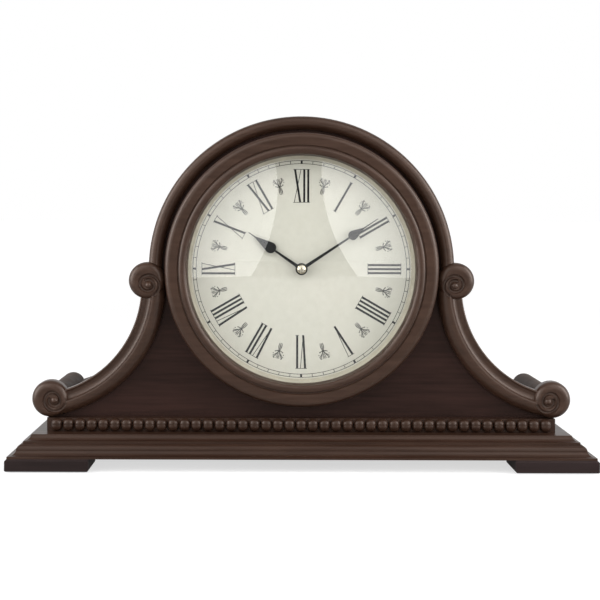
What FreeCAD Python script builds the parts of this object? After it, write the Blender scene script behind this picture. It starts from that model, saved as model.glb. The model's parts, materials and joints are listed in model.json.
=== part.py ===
import FreeCAD, Part
import Sketcher
import math
import os
from FreeCAD import Placement, Rotation, Vector

# Tambour mantel clock in a moulded wooden case, with a battery chime movement.
# Millimetres. The origin is on the ground under the middle of the plinth.
# +X is the viewer's right, the dial faces -Y and +Z is up.
# A height called "ahead" is measured from the front panel's face towards the viewer.

SIZES = {
    # plinth
    "plinth_margin": 26.2,
    "plinth_depth": 120.0,
    "pad_thickness": 1.0,
    "pad_radius": 9.0,
    "foot_height": 9.4,
    "foot_width": 63.3,
    "foot_depth": 34.0,
    "foot_chamfer": 0.8,
    "foot_bevel": 1.4,
    "base_board_thickness": 9.9,
    "base_board_moulding": 9.6,
    "top_board_thickness": 5.9,
    "top_board_moulding": 5.4,
    "board_ledge": 0.5,
    # case outline
    "dial_height": 153.2,
    "arch_radius": 115.5,
    "scroll_drop": 12.8,
    "scroll_outer_radius": 85.9,
    "scroll_inner_radius": 104.4,
    "scroll_thickness": 9.0,
    "shell_thickness": 5.2,
    "shell_overhang": 4.5,
    "side_inset": 12.3,
    "roll_inset": 2.1,
    "roll_radius": 10.0,
    # front panel
    "panel_setback": 36.0,
    "panel_thickness": 9.0,
    "case_back_gap": 3.0,
    # front mouldings
    "arch_moulding_width": 10.3,
    "arch_moulding_thickness": 7.0,
    "upper_volute_radius": 14.3,
    "lower_volute_radius": 14.3,
    "volute_thickness": 11.5,
    "groove_radius": 1.5,
    "bead_strip_height": 10.3,
    "bead_strip_thickness": 6.4,
    "bead_radius": 4.4,
    "bead_height": 9.8,
    "bead_pitch": 9.1,
    "bead_end_margin": 4.6,
    # bezel, glass and dial
    "bezel_gap": 3.1,
    "bezel_thickness": 17.0,
    "bezel_width": 17.9,
    "bezel_rebate": 3.5,
    "lip_back": 8.7,
    "glass_thickness": 1.8,
    "glass_crown": 11.0,
    "glass_flange": 4.6,
    "rebate_clearance": 0.3,
    "sight_ring_width": 2.1,
    "dial_thickness": 1.0,
    "dial_hole_radius": 3.2,
    # hands
    "hour_hand_ahead": 3.3,
    "minute_hand_ahead": 5.5,
    "hand_thickness": 0.6,
    "minute_hand_margin": 15.0,
    "minute_point_length": 23.3,
    "minute_drop_radius": 3.7,
    "minute_neck_reach": 10.0,
    "minute_hub_radius": 4.7,
    "minute_shaft_width": 2.7,
    "hour_hand_margin": 21.0,
    "hour_point_length": 21.1,
    "hour_drop_radius": 4.4,
    "hour_neck_reach": 14.5,
    "hour_hub_radius": 4.7,
    "hour_shaft_width": 2.8,
    "hand_neck_width": 1.0,
    "hand_tip_width": 0.6,
    "hand_nut_radius": 3.6,
    "hand_nut_height": 2.6,
    "hand_nut_dome": 1.7,
    # movement housing
    "movement_half_width": 40.0,
    "movement_rise": 26.0,
    "movement_drop": 62.0,
    "movement_depth": 24.0,
    "front_case_depth": 8.0,
    "case_wall": 1.5,
    "case_edge_round": 1.2,
    "washer_thickness": 1.0,
    "washer_radius": 11.0,
    "bushing_radius": 4.0,
    "bushing_flange_radius": 6.5,
    "bushing_flange_thickness": 1.5,
    "bushing_end_gap": 0.3,
    "nut_flats_radius": 6.0,
    "nut_thickness": 3.0,
    "counterbore_radius": 9.0,
    "counterbore_depth": 3.6,
    "running_clearance": 0.05,
    # wheels
    "pipe_radius": 2.5,
    "arbor_radius": 1.7,
    "rear_arbor_radius": 1.0,
    "post_radius": 0.5,
    "motion_post_radius": 0.9,
    "setting_shaft_radius": 1.5,
    "motion_module": 0.5,
    "centre_module": 0.45,
    "third_module": 0.4,
    "seconds_module": 0.35,
    "rotor_module": 0.3,
    "wheel_thickness": 1.0,
    "layer_gap": 0.3,
    "pinion_extra": 0.4,
    "hub_radius": 0.95,
    "rotor_radius": 3.2,
    "rotor_height": 2.8,
    # stator, coil and circuit
    "stator_thickness": 1.2,
    "stator_gap": 0.4,
    "stator_margin": 1.6,
    "stator_left": 30.0,
    "core_width": 5.0,
    "core_neck": 2.0,
    "core_top": 22.0,
    "coil_radius": 2.5,
    "coil_bottom": 3.0,
    "coil_length": 16.0,
    "board_left": 17.0,
    "board_bottom": 22.0,
    "board_width": 19.0,
    "board_height": 42.0,
    "board_thickness": 1.2,
    "board_standoff": 2.8,
    "standoff_radius": 1.6,
    "chip_radius": 4.0,
    "chip_height": 1.4,
    "crystal_radius": 1.0,
    "crystal_length": 6.0,
    # battery bay
    "battery_radius": 7.1,
    "battery_length": 49.0,
    "battery_nub_radius": 2.7,
    "battery_nub_length": 1.3,
    "battery_gap": 0.6,
    "bay_half_width": 26.4,
    "bay_top_drop": 28.4,
    "bay_floor": 1.4,
    "contact_width": 9.0,
    # controls on the movement's back
    "knob_radius": 7.0,
    "knob_height": 5.5,
    "knob_gap": 1.0,
    "knob_flute_radius": 0.7,
    "slider_x": 26.0,
    "volume_slider_rise": 9.0,
    "chime_selector_rise": -6.0,
    "slider_travel": 6.0,
    "slider_length": 4.0,
    "slider_stem": 2.0,
    "slider_width": 5.0,
    "slider_height": 2.2,
    "slider_clearance": 0.15,
    # case back
    "back_panel_thickness": 4.0,
    "back_recess": 6.0,
    "door_half_width": 62.0,
    "door_drop": 70.0,
    "door_rise": 36.0,
    "door_gap": 0.5,
    "hinge_length": 24.0,
    "hinge_leaf": 9.0,
    "leaf_thickness": 0.8,
    "knuckle_radius": 1.3,
    "knuckle_lift": 0.3,
    "pin_radius": 0.6,
    "hinge_inset": 18.0,
    "knuckle_gap": 0.3,
    "hinge_screw_radius": 0.9,
    "hinge_screw_length": 3.2,
    "hinge_screw_head": 0.5,
    "door_knob_radius": 5.0,
    "door_knob_height": 8.0,
    "door_knob_inset": 9.0,
    "catch_width": 12.0,
    "catch_height": 16.0,
    "catch_depth": 9.0,
    "catch_reach": 9.0,
    "catch_gap": 0.3,
    "strike_thickness": 0.8,
    "block_size": 16.0,
    "arch_block_depth": 12.0,
    "arch_block_angle": 14.0,
    "screw_radius": 1.6,
    "screw_head_radius": 3.1,
    "screw_head_height": 1.6,
    "screw_length": 14.0,
    # speaker
    "speaker_door_gap": 9.5,
    "speaker_rise": 43.0,
    "speaker_radius": 28.5,
    "speaker_flange": 6.5,
    "speaker_flange_thickness": 1.0,
    "speaker_depth": 12.0,
    "speaker_back_radius": 12.0,
    "basket_wall": 0.8,
    "cone_wall": 0.5,
    "dust_cap_radius": 6.5,
    "magnet_radius": 13.0,
    "magnet_thickness": 7.0,
    "grille_hole_radius": 2.0,
    "grille_pitch": 7.5,
    "speaker_screw_radius": 1.1,
    "speaker_screw_head_radius": 2.2,
    "speaker_screw_length": 4.0,
    # cutting tools run past the solid by this much
    "overrun": 1.0,
}

# Counts and angles
WHEEL_TEETH = {"cannon": 12, "motion": 36, "motion_pinion": 10, "hour": 40, "setting": 12}
TRAIN_TEETH = {"centre": 60, "third_pinion": 8, "third": 64, "seconds_pinion": 8, "seconds": 40,
               "intermediate_pinion": 8, "intermediate": 48, "rotor_pinion": 8}
MOTION_DIRECTION = 100.0
SETTING_DIRECTION = 150.0
THIRD_DIRECTION = -30.0
SECONDS_DIRECTION = -150.0
INTERMEDIATE_DIRECTION = 170.0
ROTOR_DIRECTION = 120.0
UPPER_VOLUTE_ANGLE = 2.4
LOWER_VOLUTE_ANGLE = 80.6
ROLL_ANGLE = 79.8
HOUR_HAND_ANGLE = 304.6
MINUTE_HAND_ANGLE = 56.5
ARCH_BLOCK_ANGLES = (25.0, 90.0, 155.0)
UPPER_SPIRAL_START = -65.0
LOWER_SPIRAL_START = 195.0
SPEAKER_SCREW_COUNT = 4
KNOB_FLUTES = 18

# Gear tooth proportions
PRESSURE_ANGLE = 20.0
ADDENDUM_SHARE = 0.8
DEDENDUM_SHARE = 1.15
WHEEL_TOOTH_SHARE = 0.46
PINION_TOOTH_SHARE = 0.36

# Outlines of the mouldings, as shares of their width and height
BASE_EDGE_SHARES = ((0.0, 0.16), (0.06, 0.18), (0.42, 0.26, 0.6, 0.5), (0.62, 0.52),
                    (0.7, 0.8, 0.95, 0.96), (1.0, 1.0))
TOP_EDGE_SHARES = ((0.0, 0.26), (0.06, 0.28), (0.68, 0.48, 0.95, 0.95), (1.0, 1.0))
BEZEL_SHARES = ((0.0, 0.6), (0.07, 0.9), (0.2, 0.985, 0.37, 0.94), (0.39, 0.88), (0.43, 0.88),
                (0.46, 0.93), (0.72, 0.96), (0.88, 0.94, 1.0, 0.7))
ARCH_SHARES = ((0.0, 0.38), (0.1, 0.62), (0.53, 1.0, 1.0, 0.5))
SCROLL_CHANNEL_SHARES = ((0.0, 0.82), (0.05, 0.86), (0.27, 0.68, 0.47, 0.97))
SCROLL_SLOPE_SHARES = ((0.52, 1.0), (0.82, 0.84, 1.0, 0.28))
VOLUTE_SHARES = ((1.0, 0.45), (0.89, 0.77, 0.6, 0.9), (0.34, 0.84))
EYE_SHARES = (0.2, 0.3, 0.86)
SPIRAL_SHARES = (0.9, 0.58, 0.42, 0.3)
BEAD_SHARES = ((0.34, 0.5), (0.83, 0.36, 1.0, 0.02), (0.86, -0.33, 0.44, -0.5))
SCREW_SHANK_SHARE = 0.8
BLOCK_BITE_SHARE = 0.7
BLOCK_SHARES = (0.25, 0.75)
STANDOFF_SHARES = (-0.4, 0.4)
HINGE_SCREW_SHARES = (-0.3, 0.3)
HINGE_SCREW_HEAD_SHARE = 1.8
HAND_WAIST_SHARE = 0.5
KNOB_SHARES = ((0.55, 0.0), (0.42, 0.3), (0.6, 0.5), (1.0, 0.62), (0.98, 0.86, 0.7, 1.0))


class Size:
    """A number with the formula of sheet cells that gives it."""

    def __init__(self, value, formula):
        self.value = float(value)
        self.formula = formula

    def __float__(self):
        return self.value

    def __add__(self, other):
        return Size(self.value + float(other), f"({self.formula} + {formula(other)})")

    def __radd__(self, other):
        return Size(float(other) + self.value, f"({formula(other)} + {self.formula})")

    def __sub__(self, other):
        return Size(self.value - float(other), f"({self.formula} - {formula(other)})")

    def __rsub__(self, other):
        return Size(float(other) - self.value, f"({formula(other)} - {self.formula})")

    def __mul__(self, other):
        return Size(self.value * float(other), f"({self.formula} * {formula(other)})")

    def __rmul__(self, other):
        return Size(float(other) * self.value, f"({formula(other)} * {self.formula})")

    def __truediv__(self, other):
        return Size(self.value / float(other), f"({self.formula} / {formula(other)})")

    def __neg__(self):
        return Size(-self.value, f"(0 - {self.formula})")


def formula(size):
    return size.formula if isinstance(size, Size) else repr(size)


def root(size):
    return Size(math.sqrt(float(size)), f"sqrt({formula(size)})")


def across(length, degrees):
    return length * math.cos(math.radians(degrees))


def along(length, degrees):
    return length * math.sin(math.radians(degrees))


doc = FreeCAD.newDocument("tambour_clock")
sheet = doc.addObject("Spreadsheet::Sheet", "Sizes")
for row, (alias, number) in enumerate(SIZES.items(), start=1):
    sheet.set(f"A{row}", alias)
    sheet.set(f"B{row}", str(number))
    sheet.setAlias(f"B{row}", alias)
doc.recompute()


class Cells:
    """The sheet's cells by name."""

    def __getattr__(self, alias):
        return Size(getattr(sheet, alias), f"Sizes.{alias}")


S = Cells()


# Solids placed by formulas

def bind(piece, **sizes):
    for name, size in sizes.items():
        piece.setExpression(name, formula(size))
    return piece


TO_FRONT = Rotation(Vector(1, 0, 0), 90)
TO_BACK = Rotation(Vector(1, 0, 0), -90)
TO_RIGHT = Rotation(Vector(0, 1, 0), 90)
UPRIGHT = Rotation()


def put(piece, x, y, z, rotation=UPRIGHT):
    piece.Placement = Placement(Vector(float(x), float(y), float(z)), rotation)
    for name, size in (("x", x), ("y", y), ("z", z)):
        piece.setExpression(f"Placement.Base.{name}", formula(size))
    return piece


def box(label, x, y, z, length, width, height):
    piece = doc.addObject("Part::Box", label)
    bind(piece, Length=length, Width=width, Height=height)
    return put(piece, x, y, z)


def rod(label, x, y, z, radius, length, rotation=UPRIGHT):
    piece = doc.addObject("Part::Cylinder", label)
    bind(piece, Radius=radius, Height=length)
    return put(piece, x, y, z, rotation)


def cut(label, base, *tools):
    if len(tools) == 1:
        tool = tools[0]
    else:
        tool = fuse(label + "_tools", *tools)
    piece = doc.addObject("Part::Cut", label)
    piece.Base = base
    piece.Tool = tool
    return piece


def fuse(label, *shapes):
    piece = doc.addObject("Part::MultiFuse", label)
    piece.Shapes = list(shapes)
    return piece


def common(label, base, tool):
    piece = doc.addObject("Part::Common", label)
    piece.Base = base
    piece.Tool = tool
    return piece


def group(label, *solids):
    piece = doc.addObject("Part::Compound", label)
    piece.Links = list(solids)
    return piece


# Sketches: a corner is (x, y), and (x via, y via, x, y) reaches it by an arc

def dimension(sketch, kind, index, place, size):
    if not isinstance(size, Size) and size == 0:
        axis = -2 if kind == "DistanceX" else -1
        sketch.addConstraint(Sketcher.Constraint("PointOnObject", index, place, axis))
        return
    made = sketch.addConstraint(Sketcher.Constraint(kind, -1, 1, index, place, float(size)))
    sketch.setExpression(f"Constraints[{made}]", formula(size))


def arc_through(start, via, end):
    """A counter-clockwise arc and whether it runs from start to end."""
    centre = Part.Arc(start, via, end).toShape().Curve.Center
    ahead = (via - start).cross(end - via).z > 0
    first, last = (start, end) if ahead else (end, start)
    angles = [math.atan2(p.y - centre.y, p.x - centre.x) for p in (first, last)]
    if angles[1] < angles[0]:
        angles[1] += 2 * math.pi
    circle = Part.Circle(centre, Vector(0, 0, 1), (start - centre).Length)
    return Part.ArcOfCircle(circle, angles[0], angles[1]), ahead


def draw(sketch, corners):
    points = [Vector(float(c[-2]), float(c[-1]), 0) for c in corners]
    ends = []
    for number, corner in enumerate(corners):
        start = points[number - 1]
        if len(corner) == 4:
            via = Vector(float(corner[0]), float(corner[1]), 0)
            curve, ahead = arc_through(start, via, points[number])
            index = sketch.addGeometry(curve)
            ends.append((index, 1, 2) if ahead else (index, 2, 1))
        else:
            index = sketch.addGeometry(Part.LineSegment(start, points[number]))
            ends.append((index, 1, 2))
    for number, corner in enumerate(corners):
        index, _, last = ends[number]
        following, first, _ = ends[(number + 1) % len(corners)]
        sketch.addConstraint(Sketcher.Constraint("Coincident", index, last, following, first))
        dimension(sketch, "DistanceX", index, last, corner[-2])
        dimension(sketch, "DistanceY", index, last, corner[-1])
        if len(corner) == 4:
            point = sketch.addGeometry(Part.Point(Vector(float(corner[0]), float(corner[1]), 0)), True)
            dimension(sketch, "DistanceX", point, 1, corner[0])
            dimension(sketch, "DistanceY", point, 1, corner[1])
            sketch.addConstraint(Sketcher.Constraint("PointOnObject", point, 1, index))


def draw_circle(sketch, x, y, radius):
    centre = Vector(float(x), float(y), 0)
    index = sketch.addGeometry(Part.Circle(centre, Vector(0, 0, 1), float(radius)))
    dimension(sketch, "DistanceX", index, 3, x)
    dimension(sketch, "DistanceY", index, 3, y)
    made = sketch.addConstraint(Sketcher.Constraint("Radius", index, float(radius)))
    sketch.setExpression(f"Constraints[{made}]", formula(radius))


def cap_middle(radius, base, height):
    """The middle of an arc that crowns a radius by a height and is level on the axis."""
    sphere = (radius * radius + height * height) / (height * 2)
    return radius / 2, base + height - sphere + root(sphere * sphere - radius * radius / 4)


def rectangle(left, bottom, right, top):
    return [(left, bottom), (right, bottom), (right, top), (left, top)]


def shares_of(shares, width, height, x=0, y=0):
    """Corners placed by shares of a width and a height from a corner."""
    corners = []
    for share in shares:
        corner = []
        for number in range(0, len(share), 2):
            corner.append(x + width * share[number])
            corner.append(y + height * share[number + 1])
        corners.append(tuple(corner))
    return corners


# Bodies drawn on sketches

def new_body(label, x=0, y=0, z=0, rotation=UPRIGHT):
    body = doc.addObject("PartDesign::Body", label)
    put(body, x, y, z, rotation)
    return body


def origin_plane(body, role):
    return next(item for item in body.Origin.OriginFeatures if item.Role == role)


def sketch_on(body, label, role="XY_Plane", offset=0):
    sketch = body.newObject("Sketcher::SketchObject", label)
    sketch.AttachmentSupport = [(origin_plane(body, role), "")]
    sketch.MapMode = "FlatFace"
    if isinstance(offset, Size):
        sketch.setExpression("AttachmentOffset.Base.z", formula(offset))
    return sketch


def pad(body, sketch, length):
    feature = body.newObject("PartDesign::Pad", body.Label + "_pad")
    feature.Profile = sketch
    bind(feature, Length=length)
    sketch.Visibility = False
    body.Tip = feature
    return feature


def pocket(body, sketch, length, downwards=True):
    feature = body.newObject("PartDesign::Pocket", body.Label + "_pocket")
    feature.Profile = sketch
    feature.Reversed = not downwards
    bind(feature, Length=length)
    body.Tip = feature
    return feature


def turned(label, corners, x=0, y=0, z=0, rotation=TO_FRONT):
    """A solid turned about its own upright axis from corners of radius and height."""
    body = new_body(label, x, y, z, rotation)
    sketch = sketch_on(body, label + "_section", "XZ_Plane")
    draw(sketch, corners)
    feature = body.newObject("PartDesign::Revolution", label + "_revolution")
    feature.Profile = sketch
    feature.ReferenceAxis = (sketch, ["V_Axis"])
    feature.Angle = 360
    body.Tip = feature
    return body


def plate(label, corners, bottom, thickness, circles=(), x=0, y=0, z=0, rotation=TO_FRONT):
    """A flat plate with round holes, padded from its own level plane."""
    body = new_body(label, x, y, z, rotation)
    sketch = sketch_on(body, label + "_outline", "XY_Plane", bottom)
    if corners:
        draw(sketch, corners)
    for circle in circles:
        draw_circle(sketch, *circle)
    pad(body, sketch, thickness)
    return body


# Levels and places shared by several pieces

ground_to_board = S.pad_thickness + S.foot_height
top_board_bottom = ground_to_board + S.base_board_thickness
plinth_top = top_board_bottom + S.top_board_thickness
half_depth = S.plinth_depth / 2
panel_y = S.panel_setback - half_depth
panel_back_y = panel_y + S.panel_thickness
case_back_y = half_depth - S.case_back_gap
case_depth = case_back_y - panel_back_y
shell_outer = S.scroll_outer_radius + S.shell_overhang
shell_inner = shell_outer + S.shell_thickness
scroll_centre_x = S.arch_radius + shell_inner
scroll_centre_z = S.dial_height - S.scroll_drop
side_half_width = scroll_centre_x - S.side_inset
half_width = side_half_width + S.plinth_margin
arch_inner = S.arch_radius - S.shell_thickness
roll_reach = shell_outer + S.roll_inset
roll_centre_x = scroll_centre_x - across(roll_reach, ROLL_ANGLE)
roll_centre_z = scroll_centre_z - along(roll_reach, ROLL_ANGLE)
arch_moulding_outer = S.arch_radius + S.shell_overhang
arch_moulding_inner = arch_moulding_outer - S.arch_moulding_width
bezel_radius = arch_moulding_inner - S.bezel_gap
sight_radius = bezel_radius - S.bezel_width
sight_ring_radius = sight_radius - S.sight_ring_width
panel_back_outer = case_back_y - S.back_recess
panel_back_inner = panel_back_outer - S.back_panel_thickness
movement_front = -(S.panel_thickness + S.washer_thickness)
movement_back = movement_front - S.movement_depth
case_split = movement_front - S.front_case_depth
front_wall_inner = movement_front - S.case_wall
back_wall_inner = movement_back + S.case_wall


# Plinth

def moulded_board(label, bottom, thickness, moulding, edge, shares, holes):
    """A board moulded on its front and both ends: a long prism and a deep one in common."""
    right = half_width - edge
    side = shares_of(shares, -moulding, thickness, right, bottom)
    mirrored = [tuple(-v if n % 2 == 0 else v for n, v in enumerate(c)) for c in reversed(side)]
    mirrored = turned_round(mirrored)
    ends = [(right, bottom)] + side + mirrored + [(-right, bottom)]
    front = half_depth - edge
    profile = shares_of(shares, moulding, thickness, -front, bottom)
    section = [(half_depth, bottom), (-front, bottom)] + profile + [(half_depth, bottom + thickness)]
    deep = prism(label + "_ends", ends, "XZ_Plane", half_depth * 2 + S.overrun * 2)
    long = prism(label + "_front", section, "YZ_Plane", half_width * 2 + S.overrun * 2)
    moulded = common(label + "_moulded", long, deep)
    return cut(label, moulded, *holes)


def turned_round(corners):
    """Corners listed backwards, with each arc's middle moved to the corner that it now reaches."""
    ends = [corner[-2:] for corner in corners]
    middles = [corner[:2] if len(corner) == 4 else () for corner in corners]
    middles = [()] + middles[:-1]
    return [tuple(middle) + tuple(end) for middle, end in zip(middles, ends)]


def prism(label, corners, role, length):
    """A body padded both ways from one of its own upright planes."""
    body = new_body(label)
    sketch = sketch_on(body, label + "_sketch", role)
    draw(sketch, corners)
    feature = pad(body, sketch, length)
    feature.SideType = "Symmetric"
    return body


block_places = [(side_half_width * share, side) for share in BLOCK_SHARES for side in (-1, 1)]
block_y = panel_back_inner - S.block_size
block_middle_y = block_y + S.block_size / 2


def screw(label, x, y, z, radius, head_radius, head_height, length, rotation):
    """A countersunk wood screw pointing along its own axis, with its head at the start."""
    section = [(0, 0), (head_radius, 0), (radius, head_height), (radius, length * SCREW_SHANK_SHARE),
               (0, length)]
    return turned(label, section, x, y, z, rotation)


def screw_hole(label, x, y, z, radius, head_radius, head_height, length, rotation):
    section = [(0, 0), (head_radius, 0), (radius, head_height), (radius, length), (0, length)]
    return turned(label, section, x, y, z, rotation)


base_screw_length = plinth_top - ground_to_board + S.block_size * BLOCK_BITE_SHARE
board_holes = {"base_board": [], "top_board": []}
base_screw_parts = []
for share, side in block_places:
    place = (share * side, block_middle_y, ground_to_board)
    sizes = (S.screw_radius, S.screw_head_radius, S.screw_head_height, base_screw_length, UPRIGHT)
    base_screw_parts.append(screw("base_screw", *place, *sizes))
    for board in board_holes:
        board_holes[board].append(screw_hole(board + "_hole", *place, *sizes))

base_board = moulded_board("plinth_base_board", ground_to_board, S.base_board_thickness,
                           S.base_board_moulding, S.foot_bevel, BASE_EDGE_SHARES, board_holes["base_board"])
top_board = moulded_board("plinth_top_board", top_board_bottom, S.top_board_thickness,
                          S.top_board_moulding, S.foot_bevel + S.base_board_moulding + S.board_ledge,
                          TOP_EDGE_SHARES, board_holes["top_board"])
base_screws = group("base_screws", *base_screw_parts)

feet = []
pads = []
for front, depth_name in ((-1, "front"), (1, "rear")):
    for right, side_name in ((-1, "left"), (1, "right")):
        label = f"foot_{depth_name}_{side_name}"
        x = half_width * right - (S.foot_width if right > 0 else 0)
        y = half_depth * front - (S.foot_depth if front > 0 else 0)
        body = new_body(label, x, y, S.pad_thickness)
        outline = sketch_on(body, label + "_outline")
        draw(outline, rectangle(0, 0, S.foot_width, S.foot_depth))
        blank = pad(body, outline, S.foot_height)
        doc.recompute()
        near = S.foot_chamfer.value / 2
        outer_x = S.foot_width.value if right > 0 else 0
        outer_y = S.foot_depth.value if front > 0 else 0
        upper = [f"Edge{n}" for n, edge in enumerate(blank.Shape.Edges, start=1)
                 if edge.BoundBox.ZMin > S.foot_height.value - near
                 and min(abs(edge.CenterOfMass.x - outer_x), abs(edge.CenterOfMass.y - outer_y)) < near]
        bevel = body.newObject("PartDesign::Chamfer", label + "_bevel")
        bevel.Base = (blank, upper)
        bind(bevel, Size=S.foot_bevel)
        body.Tip = bevel
        doc.recompute()
        lower = [f"Edge{n}" for n, edge in enumerate(bevel.Shape.Edges, start=1)
                 if edge.BoundBox.ZMax < near]
        chamfer = body.newObject("PartDesign::Chamfer", label + "_chamfer")
        chamfer.Base = (bevel, lower)
        bind(chamfer, Size=S.foot_chamfer)
        body.Tip = chamfer
        feet.append(body)
        pads.append(rod("pad", x + S.foot_width / 2, y + S.foot_depth / 2, 0, S.pad_radius, S.pad_thickness))
foot_pads = group("foot_pads", *pads)


# Case shells and front panel

def case_outline(label, y, depth, radius, scroll_radius, half_span, bottom):
    """The tambour outline: a disc on a block that two circles hollow out."""
    disc = rod(label + "_arch", 0, y, S.dial_height, radius, depth, TO_BACK)
    block = box(label + "_block", -half_span, y, bottom, half_span * 2, depth, S.dial_height - bottom)
    hollows = [rod(label + "_hollow", scroll_centre_x * side, y - S.overrun, scroll_centre_z,
                   scroll_radius, depth + S.overrun * 2, TO_BACK) for side in (-1, 1)]
    hollowed = cut(label + "_sides", block, *hollows)
    return fuse(label + "_whole", disc, hollowed)


panel_blank = case_outline("panel", panel_y, S.panel_thickness, S.arch_radius, shell_outer, side_half_width,
                           plinth_top)
bushing_bore = rod("bushing_bore", 0, panel_y - S.overrun, S.dial_height,
                   S.bushing_radius + S.rebate_clearance,
                   S.panel_thickness + S.overrun * 2, TO_BACK)
nut_recess = rod("nut_recess", 0, panel_y - S.overrun, S.dial_height, S.counterbore_radius,
                 S.counterbore_depth + S.overrun, TO_BACK)
front_panel = cut("front_panel", panel_blank, bushing_bore, nut_recess)


def half_space(label, y, depth, bottom, top):
    return box(label, -half_width, y, bottom, half_width * 2, depth, top - bottom)


leg_bottom = scroll_centre_z - S.shell_thickness
arch_tube = cut("arch_tube", rod("arch_outer", 0, panel_back_y, S.dial_height, S.arch_radius, case_depth,
                                 TO_BACK),
                rod("arch_inner", 0, panel_back_y - S.overrun, S.dial_height, arch_inner,
                    case_depth + S.overrun * 2, TO_BACK))
arch_upper = common("arch_upper", arch_tube,
                    half_space("arch_space", panel_back_y, case_depth, S.dial_height,
                               S.dial_height + S.arch_radius + S.overrun))
arch_legs = [box("arch_leg", arch_inner if side > 0 else -S.arch_radius, panel_back_y, leg_bottom,
                 S.shell_thickness, case_depth, S.dial_height - leg_bottom) for side in (-1, 1)]
arch_shell = fuse("arch_shell", arch_upper, *arch_legs)

side_shells = []
rolls = []
for side, side_name in ((-1, "left"), (1, "right")):
    x = scroll_centre_x * side
    tube = cut("side_tube", rod("side_outer", x, panel_back_y, scroll_centre_z, shell_inner, case_depth,
                                TO_BACK),
               rod("side_inner", x, panel_back_y - S.overrun, scroll_centre_z, shell_outer,
                   case_depth + S.overrun * 2, TO_BACK))
    span = side_half_width - S.arch_radius
    window = box("side_window", S.arch_radius if side > 0 else -side_half_width, panel_back_y, roll_centre_z,
                 span, case_depth, S.dial_height - roll_centre_z)
    band = common("side_band", tube, window)
    roll = rod("side_roll", roll_centre_x * side, panel_back_y, roll_centre_z, S.roll_radius, case_depth,
               TO_BACK)
    rolls.append(roll)
    rail_width = S.roll_radius
    rail_x = side_half_width - rail_width if side > 0 else -side_half_width
    rail = box("side_rail", rail_x, panel_back_y, plinth_top, rail_width, case_depth,
               roll_centre_z - plinth_top)
    side_shells.append(fuse(f"side_shell_{side_name}", band, roll, rail))

# Glue blocks behind the case, with the back panel's screws in them
blocks = [box("foot_block", share * side - S.block_size / 2, block_y, plinth_top, S.block_size, S.block_size,
              S.block_size) for share, side in block_places]
blocks = [cut("glue_block", block, screw_hole("block_hole", share * side, block_middle_y, ground_to_board,
                                              S.screw_radius, S.screw_head_radius, S.screw_head_height,
                                              base_screw_length, UPRIGHT))
          for block, (share, side) in zip(blocks, block_places)]
back_screw_places = [(share * side, plinth_top + S.block_size / 2) for share, side in block_places]
back_screw_places = [(x + S.block_size / 4, z) for x, z in back_screw_places]
for angle in ARCH_BLOCK_ANGLES:
    wedge = rod("arch_wedge", 0, block_y, S.dial_height, arch_inner, S.block_size, TO_BACK)
    bind(wedge, Angle=S.arch_block_angle)
    wedge.Placement.Rotation = TO_BACK.multiply(Rotation(Vector(0, 0, 1),
                                                         -angle - S.arch_block_angle.value / 2))
    core = rod("arch_core", 0, block_y - S.overrun, S.dial_height, arch_inner - S.arch_block_depth,
               S.block_size + S.overrun * 2, TO_BACK)
    blocks.append(cut("glue_block", wedge, core))
    reach = arch_inner - S.arch_block_depth / 2
    back_screw_places.append((across(reach, angle), S.dial_height + along(reach, angle)))
back_screw_sizes = (S.screw_radius, S.screw_head_radius, S.screw_head_height, S.screw_length, TO_FRONT)
drilled = []
for number, block in enumerate(blocks):
    x, z = back_screw_places[number]
    drilled.append(cut("drilled_block", block, screw_hole("pilot", x, panel_back_outer, z,
                                                          *back_screw_sizes)))
glue_blocks = group("glue_blocks", *drilled)
back_panel_screws = group("back_panel_screws", *[screw("back_screw", x, panel_back_outer, z,
                                                       *back_screw_sizes)
                                                 for x, z in back_screw_places])


# Front mouldings

def ring_section(label, corners, centre_x, centre_z, degrees):
    """A face of radius and height corners, standing on the ring's axis at an angle."""
    body = doc.addObject("Part::Feature", label)
    turn = Rotation(Vector(0, -1, 0), degrees)
    centre = Vector(float(centre_x), float(panel_y), float(centre_z))

    def spot(radius, height):
        return centre + turn.multVec(Vector(float(radius), 0, 0)) + Vector(0, -float(height), 0)

    edges = []
    start = spot(*corners[-1][-2:])
    for corner in corners:
        end = spot(*corner[-2:])
        if len(corner) == 4:
            edges.append(Part.Arc(start, spot(*corner[:2]), end).toShape())
        else:
            edges.append(Part.LineSegment(start, end).toShape())
        start = end
    body.Shape = Part.Face(Part.Wire(edges))
    return body


def swung(label, section, centre_x, centre_z, degrees):
    """The section turned about the depth axis through its centre."""
    piece = doc.addObject("Part::Revolution", label)
    piece.Source = section
    piece.Axis = Vector(0, -1, 0)
    piece.Angle = degrees
    piece.Solid = True
    piece.Base = Vector(float(centre_x), float(panel_y), float(centre_z))
    piece.setExpression("Base.x", formula(centre_x))
    piece.setExpression("Base.y", formula(panel_y))
    piece.setExpression("Base.z", formula(centre_z))
    return piece


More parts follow.
